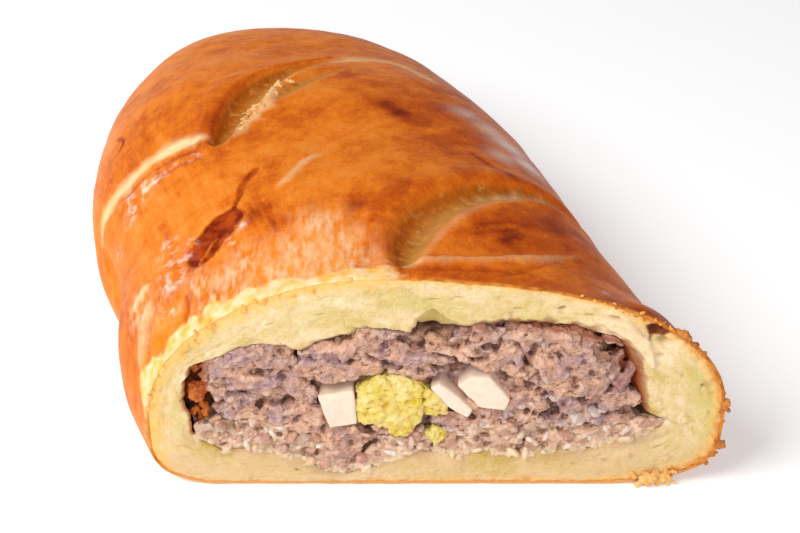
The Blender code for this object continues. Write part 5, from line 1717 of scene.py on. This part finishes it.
# Strands that hang from the near lip of the far slash down onto its floor
def strandSpots():
    draw = np.random.default_rng(heaps["seed"] + 2)
    line = np.array(slashes["far"]["line"], float)
    number = heaps["strands"]

    def onLine(share):
        return np.array([np.interp(share, np.arange(len(line)), column) for column in line.T])

    spots = []
    for k in range(number):
        share = (0.06 + 0.56 * (k + draw.uniform(0, 0.8)) / number) * (len(line) - 1)
        x, y, half, depth = onLine(share)
        ahead = unit(onLine(share + 0.3)[:2] - (x, y))
        left = np.array([-ahead[1], ahead[0]])
        start = np.array([x, y]) - left * half * draw.uniform(1.0, 1.4) - ahead * draw.uniform(-1, 1)
        reach = draw.uniform(0.25, 0.75) * half
        wide = draw.uniform(*heaps["strandRadius"])
        bend = draw.normal(0, 0.9)
        count = int(reach * 2 / 0.35)
        for i in range(count):
            t = i / count
            spot = start + left * reach * 1.5 * t + ahead * (bend * math.sin(t * 3) + draw.normal(0, 0.08))
            x, y, z = skinPath([spot])[0] / mm
            drop = 0.1 + depth * 0.75 * smoothStep(0.15, 0.95, t)
            spots.append((x, y, z - drop, wide * (1.05 - 0.5 * t)))
    return spots


print("finishes")
eggFinish = {"egg_white": simpleMaterial("boiledWhite"), "yolk": simpleMaterial("boiledYolk")}
crustObject.data.materials.append(crustMaterial())
crumbObject.data.materials.append(crumbMaterial())
minceObject.data.materials.append(meatMaterial())
riceObject.data.materials.append(riceMaterial("riceAndOnion", "bed"))
# each piece, the solids that it replaces and its slot
pieces = {
    crustObject: (("dough",), "crust"),
    crumbObject: (("dough",), "crust"),
    minceObject: (("meat",), "meat"),
    riceObject: (("rice",), "rice"),
}
for name, piece in eggObjects.items():
    slot = "egg_white" if "white" in name else "yolk"
    piece.data.materials.append(eggFinish[slot])
    piece.name = name.replace("egg_", "").title().replace("_", "") + "Piece"
    pieces[piece] = ((name,), slot)

print("rags and bits")
hanging = [(x, -0.4, z, radius) for x, z, radius in heaps["hanging"]]
juicy = [(x, 3.4, z, radius) for x, z, radius in heaps["juicy"]]
onion = [(x, 0.6 * radius, z, radius) for x, z, radius in heaps["onion"]]
# name, node, slot, finish, spots, spread, voxel, crag, seed, clusters and relief
heapRows = (
    ("CrustRags", "dough", "crust", "crustRag", ragSpots(), 0.45, 0.00026, 0.25, 41, 4, 0.0003),
    ("EdgeCrumbs", "dough", "crust", "softCrumbs", softCrumbSpots(), 0.5, 0.00028, 0.25, 42, 4, 0.0003),
    ("HangingCrumbs", "dough", "crust", "toastedCrumb", hanging, 0.45, 0.0003, 0.25, 43, 7, 0.0003),
    ("JuicyBits", "meat", "meat", "juicyBit", juicy, 0.4, 0.0004, 0.2, 47, 4, 0.0005),
    ("OnionBits", "rice", "rice", "onionBit", onion, 0.35, 0.00034, 0.16, 59, 4, 0.0002),
    ("DoughStrands", "dough", "crust", "tornDough", strandSpots(), 0.5, 0.00032, 0.30, 53, 2, 0.0004),
)
for name, node, slot, finish, *build in heapRows:
    piece = craggyHeap(name, *build)
    isOnion = finish == "onionBit"
    piece.data.materials.append(riceMaterial(finish, "onion") if isOnion else simpleMaterial(finish))
    pieces[piece] = ((node,), slot)

print("scattered rice and crumbs")
scatterRows = (
    ("riceGrains", "rice", riceMaterial("riceGrain", "grain"), {
        "Spacing": 0.0026, "Density": 60000.0, "Seed": 4, "Stand out": -0.0005, "Half length": 0.0020,
        "Half width": 0.0009, "Crag": 0.0008, "Crag scale": 400.0}),
    ("meatBits", "meat", riceMaterial("meatCrumb", "meatCrumb"), {
        "Spacing": 0.0040, "Density": 30000.0, "Seed": 9, "Stand out": -0.0003, "Half length": 0.0021,
        "Half width": 0.0013, "Crag": 0.0022, "Crag scale": 650.0}),
)
for name, slot, finish, values in scatterRows:
    pieces[scattered(name, riceObject, finish, values)] = (("rice",), slot)

# Into the frame: the solids say where the loaf stands
print("frame")
skin = skinPoint(np.linspace(0, 2 * math.pi, 721)[None], np.linspace(0, loaf["length"], 411)[:, None])
toFrame = (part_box("dough")[0].x - skin[..., 0].min(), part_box("meat")[0].y + loaf["frontRoom"], 0.0)
for piece, (nodes, slot) in pieces.items():
    setPoints(piece.data, readPoints(piece.data) + toFrame)
    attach(piece, "root")
    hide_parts(*nodes)
    print(piece.name, len(piece.data.vertices), "points")

# Floor, light and camera
studio = {
    "floorColour": (0.93, 0.93, 0.93),
    "floorShade": (0.91, 0.91, 0.915),
    "floorSize": 6.0,
    "camera": (-0.00975, -0.36436, 0.30683),  # with the cut in y = 0
    "pitch": 57.0,
    "lens": 78.57,
    "world": 0.36,
    # name, place, aim, size and power
    "lights": (("keyLeft", (-0.55, -0.50, 0.75), (0.0, -0.02, 0.03), (0.5, 0.5), 7.4),
               ("windowLeft", (-0.72, 0.42, 0.42), (-0.05, 0.0, 0.04), (0.25, 0.38), 1.3),
               ("frontFill", (0.35, -1.0, 0.45), (0.0, -0.05, 0.03), (0.8, 0.6), 4.0)),
}


def makeFloor():
    bm = bmesh.new()
    bmesh.ops.create_grid(bm, x_segments=8, y_segments=8, size=studio["floorSize"] / 2)
    floor = fromBmesh("floor", bm)
    made = Finish("paleFloor", {
        "Roughness": 0.9, "Specular IOR Level": 0.1, "Emission Color": (1.0, 1.0, 1.0, 1.0),
        "Emission Strength": 0.22})
    colour = made.mixed(made.noise(3.0), studio["floorColour"], studio["floorShade"])
    made.tree.links.new(colour, made.shader.inputs["Base Color"])
    floor.data.materials.append(made.material)


def areaLight(name, place, aim, size, power):
    lamp = bpy.data.lights.new(name, "AREA")
    lamp.shape = "RECTANGLE"
    lamp.size, lamp.size_y = size
    lamp.energy = power
    made = addObject(name, lamp)
    made.location = place
    made.rotation_euler = (Vector(aim) - Vector(place)).to_track_quat("-Z", "Y").to_euler()


makeFloor()
for light in studio["lights"]:
    areaLight(*light)
world = bpy.data.worlds.new("studio")
world.use_nodes = True
background = world.node_tree.nodes["Background"]
background.inputs["Color"].default_value = (1.0, 1.0, 1.0, 1.0)
background.inputs["Strength"].default_value = studio["world"]
bpy.context.scene.world = world
bpy.context.scene.view_settings.view_transform = "Standard"

lens = bpy.data.cameras.new("camera")
lens.lens = studio["lens"]
lens.sensor_width = 36.0
camera = addObject("camera", lens)
camera.location = [a + b for a, b in zip(studio["camera"], toFrame)]
camera.rotation_euler = (math.radians(studio["pitch"]), 0.0, 0.0)
bpy.context.scene.camera = camera

bpy.context.view_layer.update()
